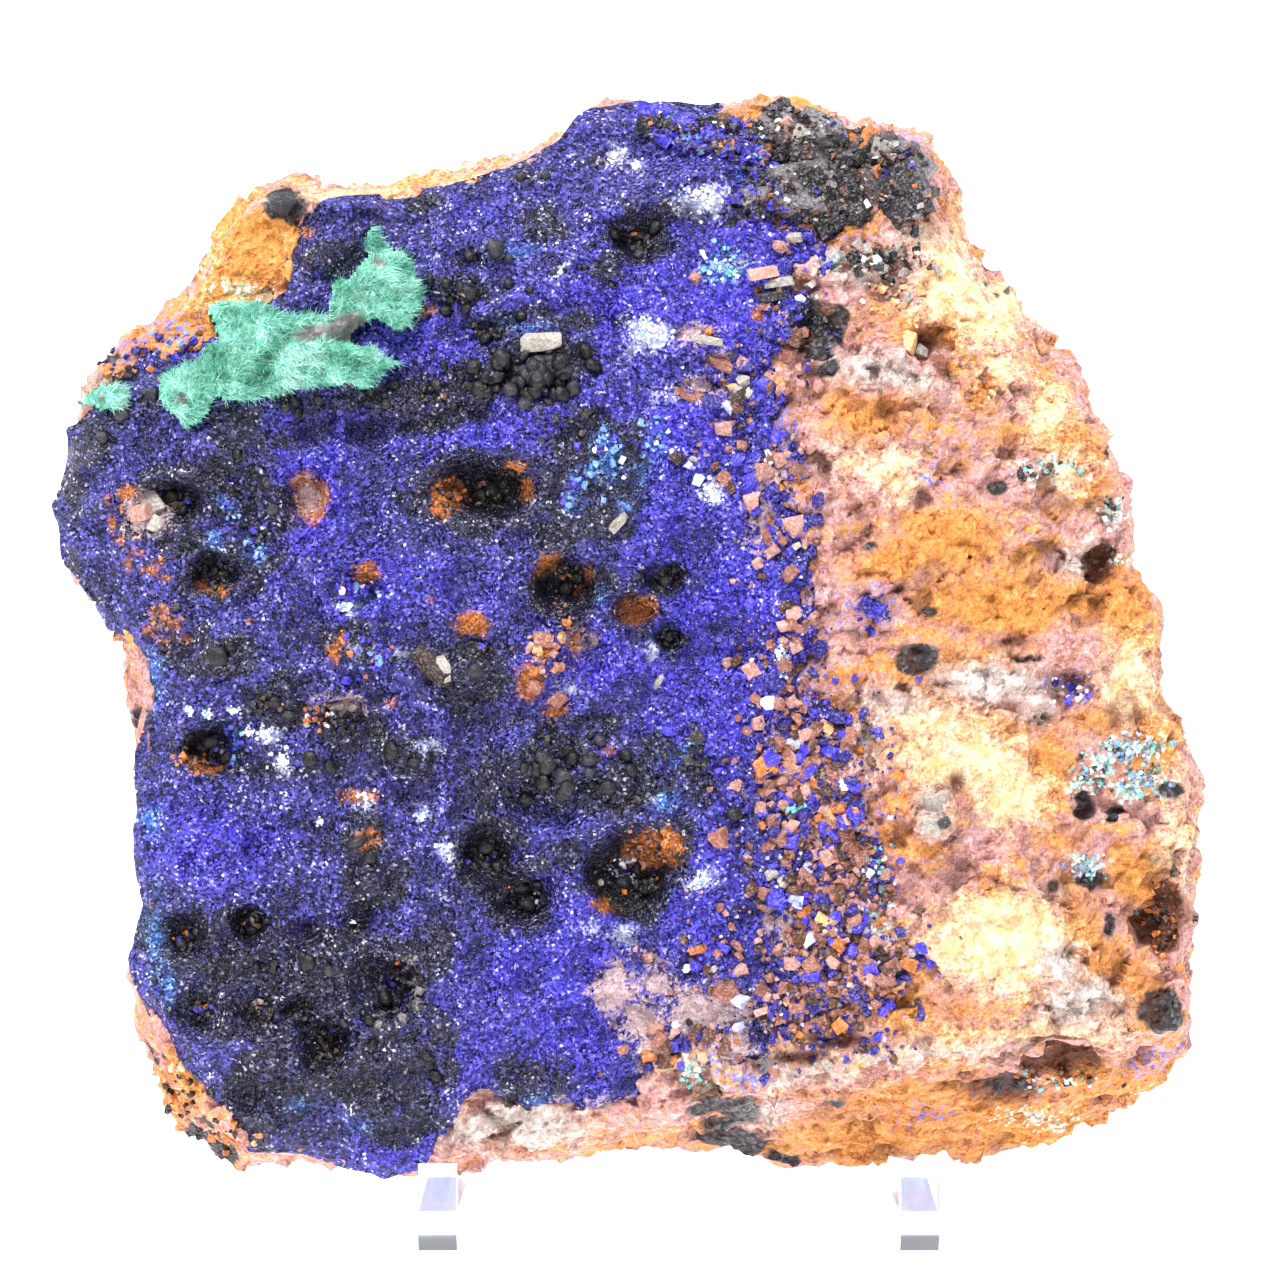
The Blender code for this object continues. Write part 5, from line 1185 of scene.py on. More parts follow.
# Single large chips: u, w, half width, half height, half thickness, turn
BIG_CHIPS = [
    (9.4, -6.6, 0.7, 0.5, 0.3, 0), (10.6, -5.6, 1.0, 0.3, 0.35, 0), (9.4, -8.1, 0.7, 0.5, 0.3, 0),
    (5.0, -12.5, 0.5, 0.5, 0.5, 30), (0.6, -19.7, 0.6, 0.4, 0.3, 20),
    (5.5, -21.9, 0.95, 0.65, 0.35, -14), (9.4, -20.3, 0.7, 0.5, 0.4, 10),
    (10.6, -20.3, 0.5, 0.5, 0.4, 40), (7.8, 10.3, 0.6, 0.9, 0.3, 20),
    (7.0, 8.6, 0.5, 0.6, 0.3, 0), (8.2, 7.4, 0.6, 0.7, 0.35, 40), (9.6, 7.2, 0.6, 0.4, 0.3, 10),
    (3.9, 18.7, 1.2, 0.45, 0.35, 0), (5.0, 17.4, 0.8, 0.45, 0.35, -20),
    (3.2, 15.2, 0.7, 0.6, 0.3, 15), (5.3, 13.2, 0.6, 0.4, 0.3, 0), (6.0, 15.6, 0.6, 0.6, 0.4, 30),
    (-6.0, 0.0, 0.6, 0.4, 0.25, 0), (-6.9, -0.6, 0.5, 0.4, 0.25, 30),
    (-5.2, -3.8, 0.6, 0.4, 0.3, 40), (-6.6, -3.0, 0.4, 0.5, 0.3, 0),
    (13.2, -23.6, 0.7, 0.4, 0.3, 10), (11.8, -26.6, 0.7, 0.4, 0.3, -20),
    (14.6, -26.8, 0.8, 0.5, 0.3, 10),
]
# Pale crystals, or patches of white grit: u, w, width, height, thickness, turn, colour
BLOCKS = [
    (-6.2, 18.6, 2.3, 1.0, 0.9, 6, "grey"), (-13.0, -1.5, 3.0, 1.1, 1.0, -14, "umber"),
    (-12.2, -1.8, 1.6, 0.8, 0.9, -20, "grey"), (-30.4, 8.4, 1.3, 1.5, 0.8, 35, "grey"),
    (-31.2, 7.9, 1.1, 1.0, 0.8, 10, "rose"), (-30.2, 7.2, 1.0, 0.8, 0.6, 60, "grey"),
    (-1.3, 7.4, 1.3, 0.5, 0.6, 52, "grey"), (4.0, 27.6, 2.6, 1.4, 0.9, -20, "white"),
    (6.1, 28.2, 0.9, 0.6, 0.5, 10, "white"), (7.6, 22.9, 2.0, 0.7, 0.8, 8, "rose"),
    (8.6, 22.3, 1.7, 0.6, 0.8, 8, "grey"), (8.3, 21.5, 1.9, 0.5, 0.7, 4, "slate"),
    (-1.5, 30.3, 1.3, 0.7, 0.7, 12, "white"), (-0.2, 29.6, 0.6, 0.5, 0.5, 30, "white"),
    (8.9, -1.2, 0.6, 2.3, 0.6, 6, "white"), (1.2, -2.6, 0.3, 1.0, 0.3, -28, "grey"),
    (-19.0, -4.2, 0.9, 0.5, 0.4, 10, "grey"), (-18.0, -4.2, 0.8, 0.5, 0.4, 40, "grey"),
    (-9.3, 9.2, 0.7, 0.4, 0.4, 20, "grey"), (-7.0, 16.9, 0.7, 0.3, 0.4, 0, "grey"),
    (-5.0, 23.0, 0.7, 0.25, 0.3, 42, "white"), (18.6, -10.2, 1.5, 1.3, 0.8, 10, "grey"),
    (18.2, -11.6, 1.3, 0.9, 0.6, -8, "grey"), (19.0, -11.4, 0.8, 0.8, 0.5, 30, "slate"),
    (16.6, 18.6, 1.3, 1.0, 0.9, 20, "honey"), (17.4, 17.9, 0.8, 0.8, 0.7, 50, "grey"),
    (-18.4, 2.1, 0.8, 0.5, 0.5, -20, "white"), (0.6, 19.4, 2.2, 1.3, 0.6, -20, "white"),
    (4.4, 9.3, 1.4, 1.0, 0.4, 40, "white"), (-23.4, -5.8, 1.1, 0.9, 0.5, 0, "white"),
    (-22.4, -7.6, 1.0, 1.2, 0.5, 0, "white"), (-28.2, -4.4, 0.4, 0.4, 0.4, 0, "white"),
    (-27.0, -4.6, 0.7, 0.4, 0.4, 0, "white"), (-25.4, -4.4, 0.6, 0.4, 0.4, 0, "white"),
    (-24.5, -5.7, 0.5, 0.5, 0.4, 0, "white"), (-20.0, -11.4, 0.35, 0.35, 0.35, 0, "white"),
    (-13.8, -10.9, 0.6, 0.6, 0.4, 0, "white"), (-12.3, -13.1, 0.6, 0.6, 0.4, 0, "white"),
    (3.8, -15.0, 1.4, 0.8, 0.4, 10, "white"), (-0.9, -14.4, 1.6, 1.2, 0.2, 0, "white"),
    (9.6, 25.2, 1.0, 0.5, 0.5, 10, "grey"),
]
# Small clusters of chips: u, w, half width, half height, how many, largest size, colours
CLUSTERS = [
    (14.6, 1.9, 0.9, 0.8, 60, 0.26, "indigo blue blue indigo indigo"),
    (26.9, -3.2, 0.9, 0.8, 26, 0.28, "indigo blue white rose brown"),
    (30.6, -6.8, 1.7, 0.9, 90, 0.19, "turquoise sky frost slate frost ash"),
    (28.2, -8.2, 0.8, 1.2, 44, 0.19, "turquoise sky frost slate frost ash"),
    (31.6, -8.8, 1.3, 0.8, 50, 0.18, "turquoise sky frost slate frost ash"),
    (27.8, -14.1, 1.0, 0.6, 40, 0.18, "turquoise sky frost white ash"),
    (25.4, 10.6, 1.9, 0.5, 44, 0.22, "slate white turquoise umber grey"),
    (29.4, 7.9, 0.7, 0.9, 26, 0.22, "slate white turquoise brown grey"),
    (15.2, -14.6, 0.8, 2.2, 40, 0.24, "turquoise turquoise blue white orange"),
    (9.7, -10.7, 0.7, 0.5, 18, 0.26, "turquoise turquoise turquoise white sky"),
    (3.4, -27.0, 0.7, 0.8, 24, 0.2, "turquoise turquoise rose rose white"),
    (8.0, 29.3, 0.8, 0.8, 26, 0.3, "turquoise blue sky blue indigo"),
    (5.3, 23.4, 1.2, 0.9, 40, 0.2, "turquoise sky white white sky"),
    (-2.0, 11.6, 1.0, 1.6, 40, 0.26, "sky blue sky white indigo"),
    (0.9, 12.6, 0.8, 1.0, 26, 0.24, "sky blue sky white blue"),
    (-4.2, 9.4, 0.7, 1.0, 20, 0.24, "sky blue indigo soot blue"),
    (-17.6, 3.0, 1.3, 0.7, 34, 0.26, "blue sky blue white blue"),
    (-24.0, 6.0, 0.8, 1.0, 26, 0.22, "sky blue indigo white soot"),
    (-25.8, 8.6, 0.7, 0.8, 20, 0.2, "sky blue indigo soot indigo"),
    (-17.4, -0.6, 1.3, 1.2, 40, 0.24, "blue sky orange soot blue"),
    (-25.8, -6.6, 0.7, 1.2, 24, 0.2, "sky blue blue soot indigo"),
    (3.0, -7.0, 1.8, 1.4, 40, 0.36, "indigo slate blue soot indigo"),
    (-4.5, 14.2, 2.2, 1.2, 50, 0.3, "soot slate indigo soot slate"),
    (-29.0, 18.2, 2.2, 0.9, 60, 0.28, "indigo blue sky orange indigo"),
    (-32.8, 16.6, 1.0, 0.8, 30, 0.3, "soot slate indigo soot orange"),
    (-5.8, -1.0, 1.4, 1.6, 34, 0.32, "orange clay rose honey clay"),
    (-4.6, 1.4, 1.0, 0.6, 16, 0.24, "orange clay honey soot clay"),
    (0.4, -12.8, 1.4, 0.8, 44, 0.26, "orange brown clay orange soot"),
    (-11.8, 9.2, 0.9, 1.0, 34, 0.24, "orange brown orange umber soot"),
    (-27.8, -7.6, 0.9, 0.5, 22, 0.24, "orange brown orange umber clay"),
    (-29.8, 0.8, 1.0, 1.2, 26, 0.26, "orange brown clay umber slate"),
    (-17.2, 4.2, 0.8, 0.6, 18, 0.24, "orange brown orange clay orange"),
    (-20.0, -4.8, 0.9, 0.9, 24, 0.24, "orange grey brown white soot"),
    (-17.2, -12.4, 0.8, 0.7, 20, 0.24, "orange brown soot slate clay"),
    (-17.5, -9.9, 1.1, 0.5, 18, 0.2, "rose white orange rose clay"),
    (15.4, 23.8, 2.2, 0.9, 90, 0.34, "slate grey white soot brown"),
    (16.2, 21.6, 2.0, 1.0, 40, 0.3, "rose honey white grey clay"),
    (21.4, 15.8, 1.2, 1.0, 34, 0.3, "orange brown honey orange clay"),
    (26.5, -27.3, 2.4, 0.7, 40, 0.3, "brown umber white turquoise orange"),
    (31.4, -29.8, 1.6, 0.7, 34, 0.24, "turquoise white slate umber grey"),
    (32.6, -17.6, 0.9, 1.9, 60, 0.3, "brown umber orange brown umber"),
    (-28.6, -28.4, 1.4, 1.4, 50, 0.34, "soot orange umber honey soot"),
    (-26.0, -31.0, 1.4, 0.8, 40, 0.34, "soot orange slate honey orange"),
    (-14.5, -20.2, 0.35, 0.4, 16, 0.26, "slate ash slate"),
    (-13.8, -21.4, 0.35, 0.5, 18, 0.28, "slate ash ash"),
    (-14.0, -22.7, 0.35, 0.4, 16, 0.28, "slate ash slate"),
    (-14.9, -23.7, 0.5, 0.35, 16, 0.26, "slate ash slate"),
    (-16.3, -23.9, 0.5, 0.3, 12, 0.24, "slate soot ash"),
]
# Colours of the chips, in the order of their places along the ramp
CHIP_COLOURS = {
    "soot": (20, 18, 20), "slate": (52, 48, 52), "ash": (112, 106, 110),
    "umber": (60, 44, 38), "brown": (98, 62, 44),
    "indigo": (38, 30, 124), "blue": (70, 60, 204), "sky": (120, 164, 226),
    "turquoise": (120, 204, 192), "clay": (150, 96, 80), "rose": (190, 140, 128),
    "orange": (200, 116, 48), "honey": (214, 168, 116), "grey": (164, 156, 148),
    "frost": (204, 208, 238), "cream": (232, 218, 200), "white": (250, 249, 250)}
CHIP_NAMES = list(CHIP_COLOURS)
chip_material, start, spot, shader = finish_of(
    "broken_chips", IOR=1.5, Specular_IOR_Level=0.3)
speck = start.cloud(spot, 0.4, 3.0, 0.65)
dust = start.grit(spot, 0.13, "Color").one("Red")
shade = start.kept("tone").ramp(
    *[(number / len(CHIP_NAMES), *CHIP_COLOURS[name]) for number, name in enumerate(CHIP_NAMES)],
    interpolation="CONSTANT")
shade = shade.node("ShaderNodeHueSaturation", None, {
    "Color": shade, "Value": 0.3 + start.kept("lot") * 0.4 + dust * 0.6 + speck * 0.4})
speckled = (dust * 1.8 + start.cloud(spot, 0.16, 2.0, 0.7) * 2.6 - 2.35).within()
shade = (speckled * 0.28).blend(shade, colour(206, 200, 206))
feed(start, shader, Base_Color=shade, Roughness=0.35 + speck * 0.35,
     Normal=(speck * 0.6 + dust * 0.4).bump(0.7, 0.00025))


def slot_of(names):
    """The middle of each named colour's place along the ramp."""
    return (np.array([CHIP_NAMES.index(name) for name in names]) + 0.5) / len(CHIP_NAMES)


def picked_colours(draw, count, **shares):
    """A random colour for each chip, in the given shares."""
    weights = np.array(list(shares.values()), dtype=float)
    return draw.choice(slot_of(shares), count, p=weights / weights.sum())


def chip_shape(seed, flatness):
    """A lump with a few flat faces, like a grain broken out of rock: the hull of some points."""
    bm = bmesh.new()
    bmesh.ops.create_icosphere(bm, subdivisions=1, radius=1.0)
    cut = np.random.default_rng(seed)
    for vert in bm.verts:
        vert.co = vert.co * cut.uniform(0.55, 1.3) + Vector(cut.normal(size=3)) * 0.16
    hull = bmesh.ops.convex_hull(bm, input=bm.verts)
    spare = [item for item in hull["geom_interior"] if isinstance(item, bmesh.types.BMVert)]
    bmesh.ops.delete(bm, geom=spare, context="VERTS")
    bmesh.ops.delete(bm, geom=[vert for vert in bm.verts if not vert.link_faces], context="VERTS")
    bmesh.ops.scale(bm, vec=(1.0, 1.0, flatness), verts=bm.verts)
    return template(bm)


def block_shape(seed, flatness, rounding=0.1, skew=0.2):
    """A short blocky crystal with two corners broken off."""
    bm = bmesh.new()
    bmesh.ops.create_cube(bm, size=2.0)
    cut = np.random.default_rng(seed)
    for vert in bm.verts:
        vert.co += Vector(cut.uniform(-skew, skew, 3))
    for number in range(2):
        direction = Vector((*cut.choice((-1.0, 1.0), 2), 1.0)) + Vector(cut.normal(size=3)) * 0.4
        direction.normalize()
        bmesh.ops.bisect_plane(
            bm, geom=bm.verts[:] + bm.edges[:] + bm.faces[:], plane_co=direction * 1.15,
            plane_no=direction, clear_outer=True)
        bmesh.ops.holes_fill(bm, edges=[edge for edge in bm.edges if edge.is_boundary])
    if rounding:
        bmesh.ops.bevel(
            bm, geom=bm.edges[:], offset=rounding, segments=1, profile=0.5, affect="EDGES",
            material=-1)
    bmesh.ops.scale(bm, vec=(1.0, 1.0, flatness), verts=bm.verts)
    return template(bm)


def slab_shape(seed, flatness):
    """A broken slab with sharp edges."""
    return block_shape(seed, flatness, 0.0, 0.42)


def rubble_shape(seed, flatness):
    """A broken slab or a lump, by turns."""
    return slab_shape(seed, flatness) if seed % 2 else chip_shape(seed, flatness)


def laid(draw, normals, turns, spread):
    """Three crossed axes per copy: turned about the normal by the given angles."""
    up = unit(normals + spread * draw.normal(size=normals.shape))
    level = np.column_stack((np.cos(turns), np.zeros(len(turns)), np.sin(turns)))
    side = unit(np.cross(np.cross(up, level), up))
    return np.stack((side, np.cross(up, side), up), axis=1)


def around(draw, middle_u, middle_w, wide, high, count):
    """Random places about a middle."""
    return (middle_u + wide * draw.normal(size=count),
            middle_w + high * draw.normal(size=count))


def uneven(draw, base, least=0.6, most=1.15):
    """Sizes along three axes that differ at random from one base size per chip."""
    return base[:, None] * draw.uniform(least, most, (len(base), 3))


def any_turn(draw, count):
    """A random turn for each chip."""
    return draw.uniform(0.0, math.tau, count)


def together(heaps):
    """Several heaps as one: each of their columns end to end."""
    return [np.concatenate(column) for column in zip(*heaps)]


def strewn(name, shape, tree, draw, u, w, sizes, turns, tones, lift, spread, flatness):
    """Chips laid on a surface: one joined mesh of several kinds of lump."""
    spots, normals, met = resting(tree, u, w)
    spots, normals = spots[met], normals[met]
    sizes, turns, tones = sizes[met], turns[met], tones[met]
    spots = spots + normals * (sizes[:, 2] * lift)[:, None]
    axes = laid(draw, normals, turns, spread)
    joined = bmesh.new()
    tones_kept, counts = [], []
    for kind in range(CHIP_KINDS):
        picked = np.arange(kind, len(spots), CHIP_KINDS)
        part = repeated(
            "part", shape(FIRST_CHIP_SEED + kind, flatness), spots[picked], axes[picked],
            sizes[picked])
        width = len(part.vertices) // len(picked)
        tones_kept.append(np.repeat(tones[picked], width))
        counts.append((len(picked), width))
        joined.from_mesh(part)
        bpy.data.meshes.remove(part)
    mesh = mesh_of(name, joined)
    lots = [np.repeat(draw.uniform(size=size), width) for size, width in counts]
    keep_values(mesh, tone=np.concatenate(tones_kept), lot=np.concatenate(lots))
    return mesh


draw = np.random.default_rng(21)
heaps = []
for u, w, wide, high, count in PEBBLE_STRIPS:
    heaps.append((
        *around(draw, u, w, wide * 0.55, high * 0.6, count),
        uneven(draw, 0.09 + 0.42 * draw.uniform(size=count) ** 2.8), any_turn(draw, count),
        picked_colours(
            draw, count, blue=0.15, indigo=0.18, clay=0.26, rose=0.17, brown=0.15, orange=0.015,
            honey=0.005, grey=0.015, umber=0.05, white=0.005, frost=0.02)))
for u, w, wide, high, count in PEBBLE_STRIPS[BLUE_GRIT]:
    heaps.append((
        *around(draw, u, w, wide * 0.6, high * 0.6, count),
        draw.uniform(0.05, 0.13, (count, 3)), any_turn(draw, count),
        picked_colours(draw, count, indigo=0.5, blue=0.4, frost=0.1)))
for u, w, *size, turn in BIG_CHIPS:
    heaps.append((
        [u], [w], [size], [math.radians(turn)],
        picked_colours(draw, 1, rose=0.5, clay=0.35, grey=0.15)))
for u, w, wide, high, count, largest, names in CLUSTERS:
    heaps.append((
        *around(draw, u, w, 0.6 * wide, 0.6 * high, count),
        uneven(draw, 0.1 + (largest - 0.1) * draw.uniform(size=count) ** 1.5),
        any_turn(draw, count), draw.choice(slot_of(names.split()), count)))
for u, w, wide, high, thick, turn, name in BLOCKS:
    if name != "white":
        continue
    count = int(16 + 20 * wide * high)
    c, s = math.cos(math.radians(turn)), math.sin(math.radians(turn))
    along, across = 0.3 * wide * draw.normal(size=count), 0.3 * high * draw.normal(size=count)
    heaps.append((
        u + along * c - across * s, w + along * s + across * c,
        draw.uniform(0.05, 0.15, count)[:, None] * (1.0, 0.8, 0.9), any_turn(draw, count),
        picked_colours(draw, count, white=0.3, cream=0.05, sky=0.1, frost=0.55)))
chips = strewn(
    "broken_chips", rubble_shape, whole_tree, draw, *together(heaps), lift=0.35, spread=0.35,
    flatness=0.8)
show(chips.name, chips, chip_material, "matrix_rock")


# Pale crystals: the few blocky grey, brown and rose crystals that are large enough to tell
# apart. Each is a short bevelled block with broken corners, laid on the crust or on the rock
# at its own place and turn, and all are joined into one piece.
blocks = np.array([
    (u, w, 0.5 * wide, 0.5 * high, 0.5 * thick, math.radians(turn), *slot_of([name]))
    for u, w, wide, high, thick, turn, name in BLOCKS if name != "white"])
crystals = strewn(
    "pale_crystals", block_shape, whole_tree, draw, blocks[:, 0], blocks[:, 1], blocks[:, 2:5],
    blocks[:, 5], blocks[:, 6], lift=0.4, spread=0.3, flatness=1.0)
show(crystals.name, crystals, chip_material, "matrix_rock")


# Pit crumbs: the coarse black and brown grit of oxides that lines the dark hearts of the
# crust's pits. Each crumb is a small lump with a few flat faces, half sunk into the crust, and
# all are joined into one piece.
heaps = []
for u, w, wide, high in CORES:
    count = int(24 + 16 * wide * high)
    heaps.append((
        *around(draw, u, w, 0.5 * wide, 0.5 * high, count),
        uneven(draw, 0.07 + 0.22 * draw.uniform(size=count) ** 2, most=1.2),
        picked_colours(
            draw, count, soot=0.55, slate=0.2, umber=0.07, brown=0.05, indigo=0.06, blue=0.02,
            orange=0.02, grey=0.02, white=0.01)))
u, w, sizes, tones = together(heaps)
crumbs = strewn(
    "pit_crumbs", chip_shape, whole_tree, draw, u, w, sizes, any_turn(draw, len(u)), tones,
    lift=0.5, spread=0.6, flatness=0.9)
show(crumbs.name, crumbs, chip_material, "azurite")


# Dark plates: thin iron-stained and blue plates that overlap like scales on the top right
# corner and the shoulder beside it, and the crumbs between them. Each is a broken slab laid on
# the rock. The crumbs lie on the plates, and each kind is joined into one piece.
PLATE_BORDER = 0.4
# Where plates lie: u, w
PLATE_CORNER = [
    (6.6, 32.8), (8.6, 33.6), (10.4, 33.8), (12.4, 32.2), (15.4, 31.6), (17.8, 30.6),
    (18.4, 28.0), (17.9, 26.2), (15.4, 26.6), (12.4, 25.4), (9.4, 26.2), (7.0, 26.6), (6.6, 27.6),
    (8.8, 29.4),
]
SHOULDER = [
    (0.4, 33.2), (7.6, 32.6), (8.6, 29.4), (9.6, 26.0), (4.6, 25.6), (6.0, 29.6), (0.0, 31.2),
]
# Heaps of each piece: outline, how many tries, their size, and shares of colours
PLATE_HEAPS = {
    "dark_plates": (
        (PLATE_CORNER, 520, 1.4, dict(
            soot=0.15, slate=0.3, ash=0.24, umber=0.11, brown=0.05, grey=0.07, orange=0.02,
            rose=0.03, indigo=0.03)),
        (PLATE_CORNER, 150, 2.5, dict(
            soot=0.2, slate=0.36, ash=0.2, umber=0.1, brown=0.05, grey=0.06, orange=0.03)),
        (SHOULDER, 360, 1.0, dict(
            soot=0.22, slate=0.14, indigo=0.32, blue=0.18, rose=0.03, orange=0.02, sky=0.04,
            brown=0.03, ash=0.02))),
    "plate_crumbs": (
        (PLATE_CORNER, 650, 0.3, dict(
            soot=0.2, slate=0.26, ash=0.2, umber=0.08, brown=0.06, grey=0.07, orange=0.03,
            white=0.03, indigo=0.04, blue=0.03)),
        (SHOULDER, 900, 0.28, dict(
            soot=0.15, slate=0.1, indigo=0.3, blue=0.3, sky=0.06, white=0.04, orange=0.03,
            ash=0.02)))}
ground_tree = whole_tree
for name, kinds in PLATE_HEAPS.items():
    heaps = []
    for outline, tries, scale, shares in kinds:
        left, right, low, high = extent(outline, 0.0)
        u, w = draw.uniform(left, right, tries), draw.uniform(low, high, tries)
        level = np.column_stack((u, np.zeros(tries), w))
        keep = rim_inset(level, outline) > PLATE_BORDER * scale
        u, w, count = u[keep], w[keep], keep.sum()
        base = scale * (0.24 + 0.5 * draw.uniform(size=count) ** 1.8)
        heaps.append((
            u, w, uneven(draw, base, (0.8, 0.5, 0.6), (1.25, 0.9, 1.0)),
            picked_colours(draw, count, **shares)))
    u, w, sizes, tones = together(heaps)
    plates = strewn(
        name, slab_shape, ground_tree, draw, u, w, sizes, draw.normal(0.15, 0.5, len(u)), tones,
        lift=0.35, spread=0.28, flatness=0.55)
    ground_tree = tree_of(skin_of(plates))
    show(plates.name, plates, chip_material, "matrix_rock")


# Malachite: a mat of fine mint-green needles that lie in combed tufts over the rock above the
# crust, with a smaller tuft on the left rim. A thin felted base follows the CAD solids, and
# the needles stand on it, each a sliver with three sides.
FELT_STEP = 0.22
FELT_MARGIN = 0.4
FELT_LIP = 1.4
NEEDLES = 17000
NEEDLE_THICKNESS = (0.018, 0.046)
NEEDLE_LENGTH = (0.25, 0.9)
NEEDLE_LIFT = (0.1, 0.95)
# Left, right, low and high limits of where needles are tried, and the tries for each
NEEDLE_FIELD = (-35.4, -13.0, 13.0, 26.4)
NEEDLE_TRIES = 4
# Outlines of the two mats: u, w
MALACHITE_RIM = [
    (-30.0, 16.5), (-27.8, 17.6), (-26.5, 18.8), (-27.2, 20.5), (-26.4, 21.1), (-23.6, 21.1),
    (-21.8, 20.3), (-19.5, 20.5), (-19.5, 22.0), (-17.2, 23.6), (-17.4, 25.2), (-16.6, 26.1),
    (-15.9, 24.6), (-14.6, 24.2), (-14.0, 22.8), (-13.4, 21.9), (-14.2, 19.5), (-15.4, 19.4),
    (-16.5, 20.1), (-18.4, 18.6), (-16.8, 18.4), (-14.9, 17.4), (-15.9, 16.6), (-17.0, 15.7),
    (-20.0, 15.9), (-21.4, 15.6), (-24.4, 14.9), (-26.6, 15.0), (-27.2, 13.9), (-28.4, 13.2),
    (-29.4, 14.1), (-30.1, 14.8),
]
EDGE_MALACHITE_RIM = [
    (-35.2, 14.9), (-33.8, 16.0), (-32.6, 16.4), (-31.9, 15.5), (-32.2, 14.5), (-33.9, 14.2),
]
# Ovals where the rock shows through the mats
MALACHITE_GAPS = [
    (-28.7, 15.1, 0.5, 0.5), (-16.4, 23.6, 0.45, 0.45), (-33.6, 15.1, 0.35, 0.35),
    (-18.2, 19.6, 1.5, 1.1, 25), (-20.6, 19.2, 1.6, 0.6, 10),
]
# Middles that the needles spread from: u, w
TUFT_HEARTS = [
    (-28.6, 14.6), (-27.0, 16.2), (-24.8, 16.8), (-22.8, 17.6), (-20.6, 17.0), (-18.4, 17.0),
    (-25.2, 19.6), (-23.4, 19.8), (-21.6, 18.6), (-18.4, 21.4), (-16.8, 22.2), (-16.4, 24.6),
    (-15.0, 21.0), (-17.6, 20.0), (-33.6, 15.0), (-32.8, 15.6), (-26.2, 14.9), (-15.2, 23.0),
]
malachite_material, start, spot, shader = finish_of("malachite_needles", IOR=1.66)
broad = start.cloud(spot, 2.4, 2.0)
fibre = start.cloud(spot, 0.18, 2.0, 0.7)
tone = start.kept("tone")
shade = (tone * 0.72 + (broad - 0.5) * 0.7 + (fibre - 0.5) * 0.35 + 0.05).ramp(
    (0.0, 18, 88, 72), (0.2, 70, 164, 136), (0.45, 134, 212, 192), (0.72, 192, 236, 226),
    (1.0, 250, 255, 253))
void = (start.kept("gap") * 2.4 + (fibre - 0.5) * 0.8 + 0.4).within()
shade = void.blend(shade, fibre.ramp((0.2, 30, 38, 38), (0.8, 104, 100, 96)))
feed(start, shader, Base_Color=shade, Roughness=0.55 - tone * 0.15)

malachite_tree = tree_of(
    skin_of(solid_copy("malachite_mat")), skin_of(solid_copy("malachite_rim_mat")))
mat_bm = bmesh.new()
for rim in (MALACHITE_RIM, EDGE_MALACHITE_RIM):
    left, right, low, high = extent(rim, FELT_MARGIN)
    patch_bm = bmesh.new()
    bmesh.ops.create_grid(
        patch_bm, x_segments=int((right - left) / FELT_STEP),
        y_segments=int((high - low) / FELT_STEP), size=0.5)
    for vert in patch_bm.verts:
        vert.co = (left + (vert.co.x + 0.5) * (right - left), 0.0,
                   low + (vert.co.y + 0.5) * (high - low))
    spread_out = np.array([vert.co for vert in patch_bm.verts])
    kept_in = rim_inset(spread_out, rim) + 0.3 * ripple(spread_out, 0.8, 51) > -0.05
    spots, normals, met = resting(malachite_tree, spread_out[:, 0], spread_out[:, 2])
    ground = resting(whole_tree, spread_out[:, 0], spread_out[:, 2])[0][:, 1]
    top = np.where(met, spots[:, 1], ground - 0.3)
    felt = rippled(spread_out, (0.42, 1.1, 52), (0.34, 0.5, 53))
    for vert, depth in zip(patch_bm.verts, top - felt + 0.1):
        vert.co.y = depth
    dropped = [vert for vert in patch_bm.verts if not kept_in[vert.index]]
    bmesh.ops.delete(patch_bm, geom=dropped, context="VERTS")
    lipped(patch_bm, FELT_LIP)
    mat_bm.from_mesh(mesh_of("part", patch_bm))
mat_mesh = mesh_of("malachite_felt", mat_bm)
mat_places = vertex_places(mat_mesh)
mat_tree = tree_of(skin_of(mat_mesh))
keep_values(
    mat_mesh, gap=nearness(mat_places, MALACHITE_GAPS),
    tone=0.25 + 0.25 * ripple(mat_places, 0.4, 54))

needle_bm = bmesh.new()
bmesh.ops.create_cone(
    needle_bm, segments=3, radius1=1.0, radius2=0.0, depth=1.0, cap_ends=True)
bmesh.ops.translate(needle_bm, vec=(0.0, 0.0, 0.4), verts=needle_bm.verts)
needle_shape = template(needle_bm)
draw = np.random.default_rng(31)
tries = NEEDLES * NEEDLE_TRIES
pool = np.column_stack((
    draw.uniform(*NEEDLE_FIELD[:2], tries), np.zeros(tries),
    draw.uniform(*NEEDLE_FIELD[2:], tries)))
inside = (rim_inset(pool, MALACHITE_RIM) > 0.05) | (rim_inset(pool, EDGE_MALACHITE_RIM) > 0.05)
clear = nearness(pool, MALACHITE_GAPS) < draw.uniform(-0.4, 0.1, len(pool))
pool = pool[inside & clear][:NEEDLES]
spots, normals, met = resting(mat_tree, pool[:, 0], pool[:, 2])
spots, normals = spots[met], normals[met]
hearts = np.array(TUFT_HEARTS)
gap = spots[:, None, (0, 2)] - hearts[None, :, :]
near = np.argmin(np.hypot(gap[..., 0], gap[..., 1]), axis=1)
away = gap[np.arange(len(spots)), near]
distance = np.hypot(away[:, 0], away[:, 1])
comb = away / np.maximum(distance, 0.15)[:, None]
flow = 0.35 + 1.1 * ripple(spots, 3.0, 57)
comb = 0.55 * comb + np.column_stack((np.cos(flow), np.sin(flow)))
comb /= np.maximum(np.linalg.norm(comb, axis=1), 0.1)[:, None]
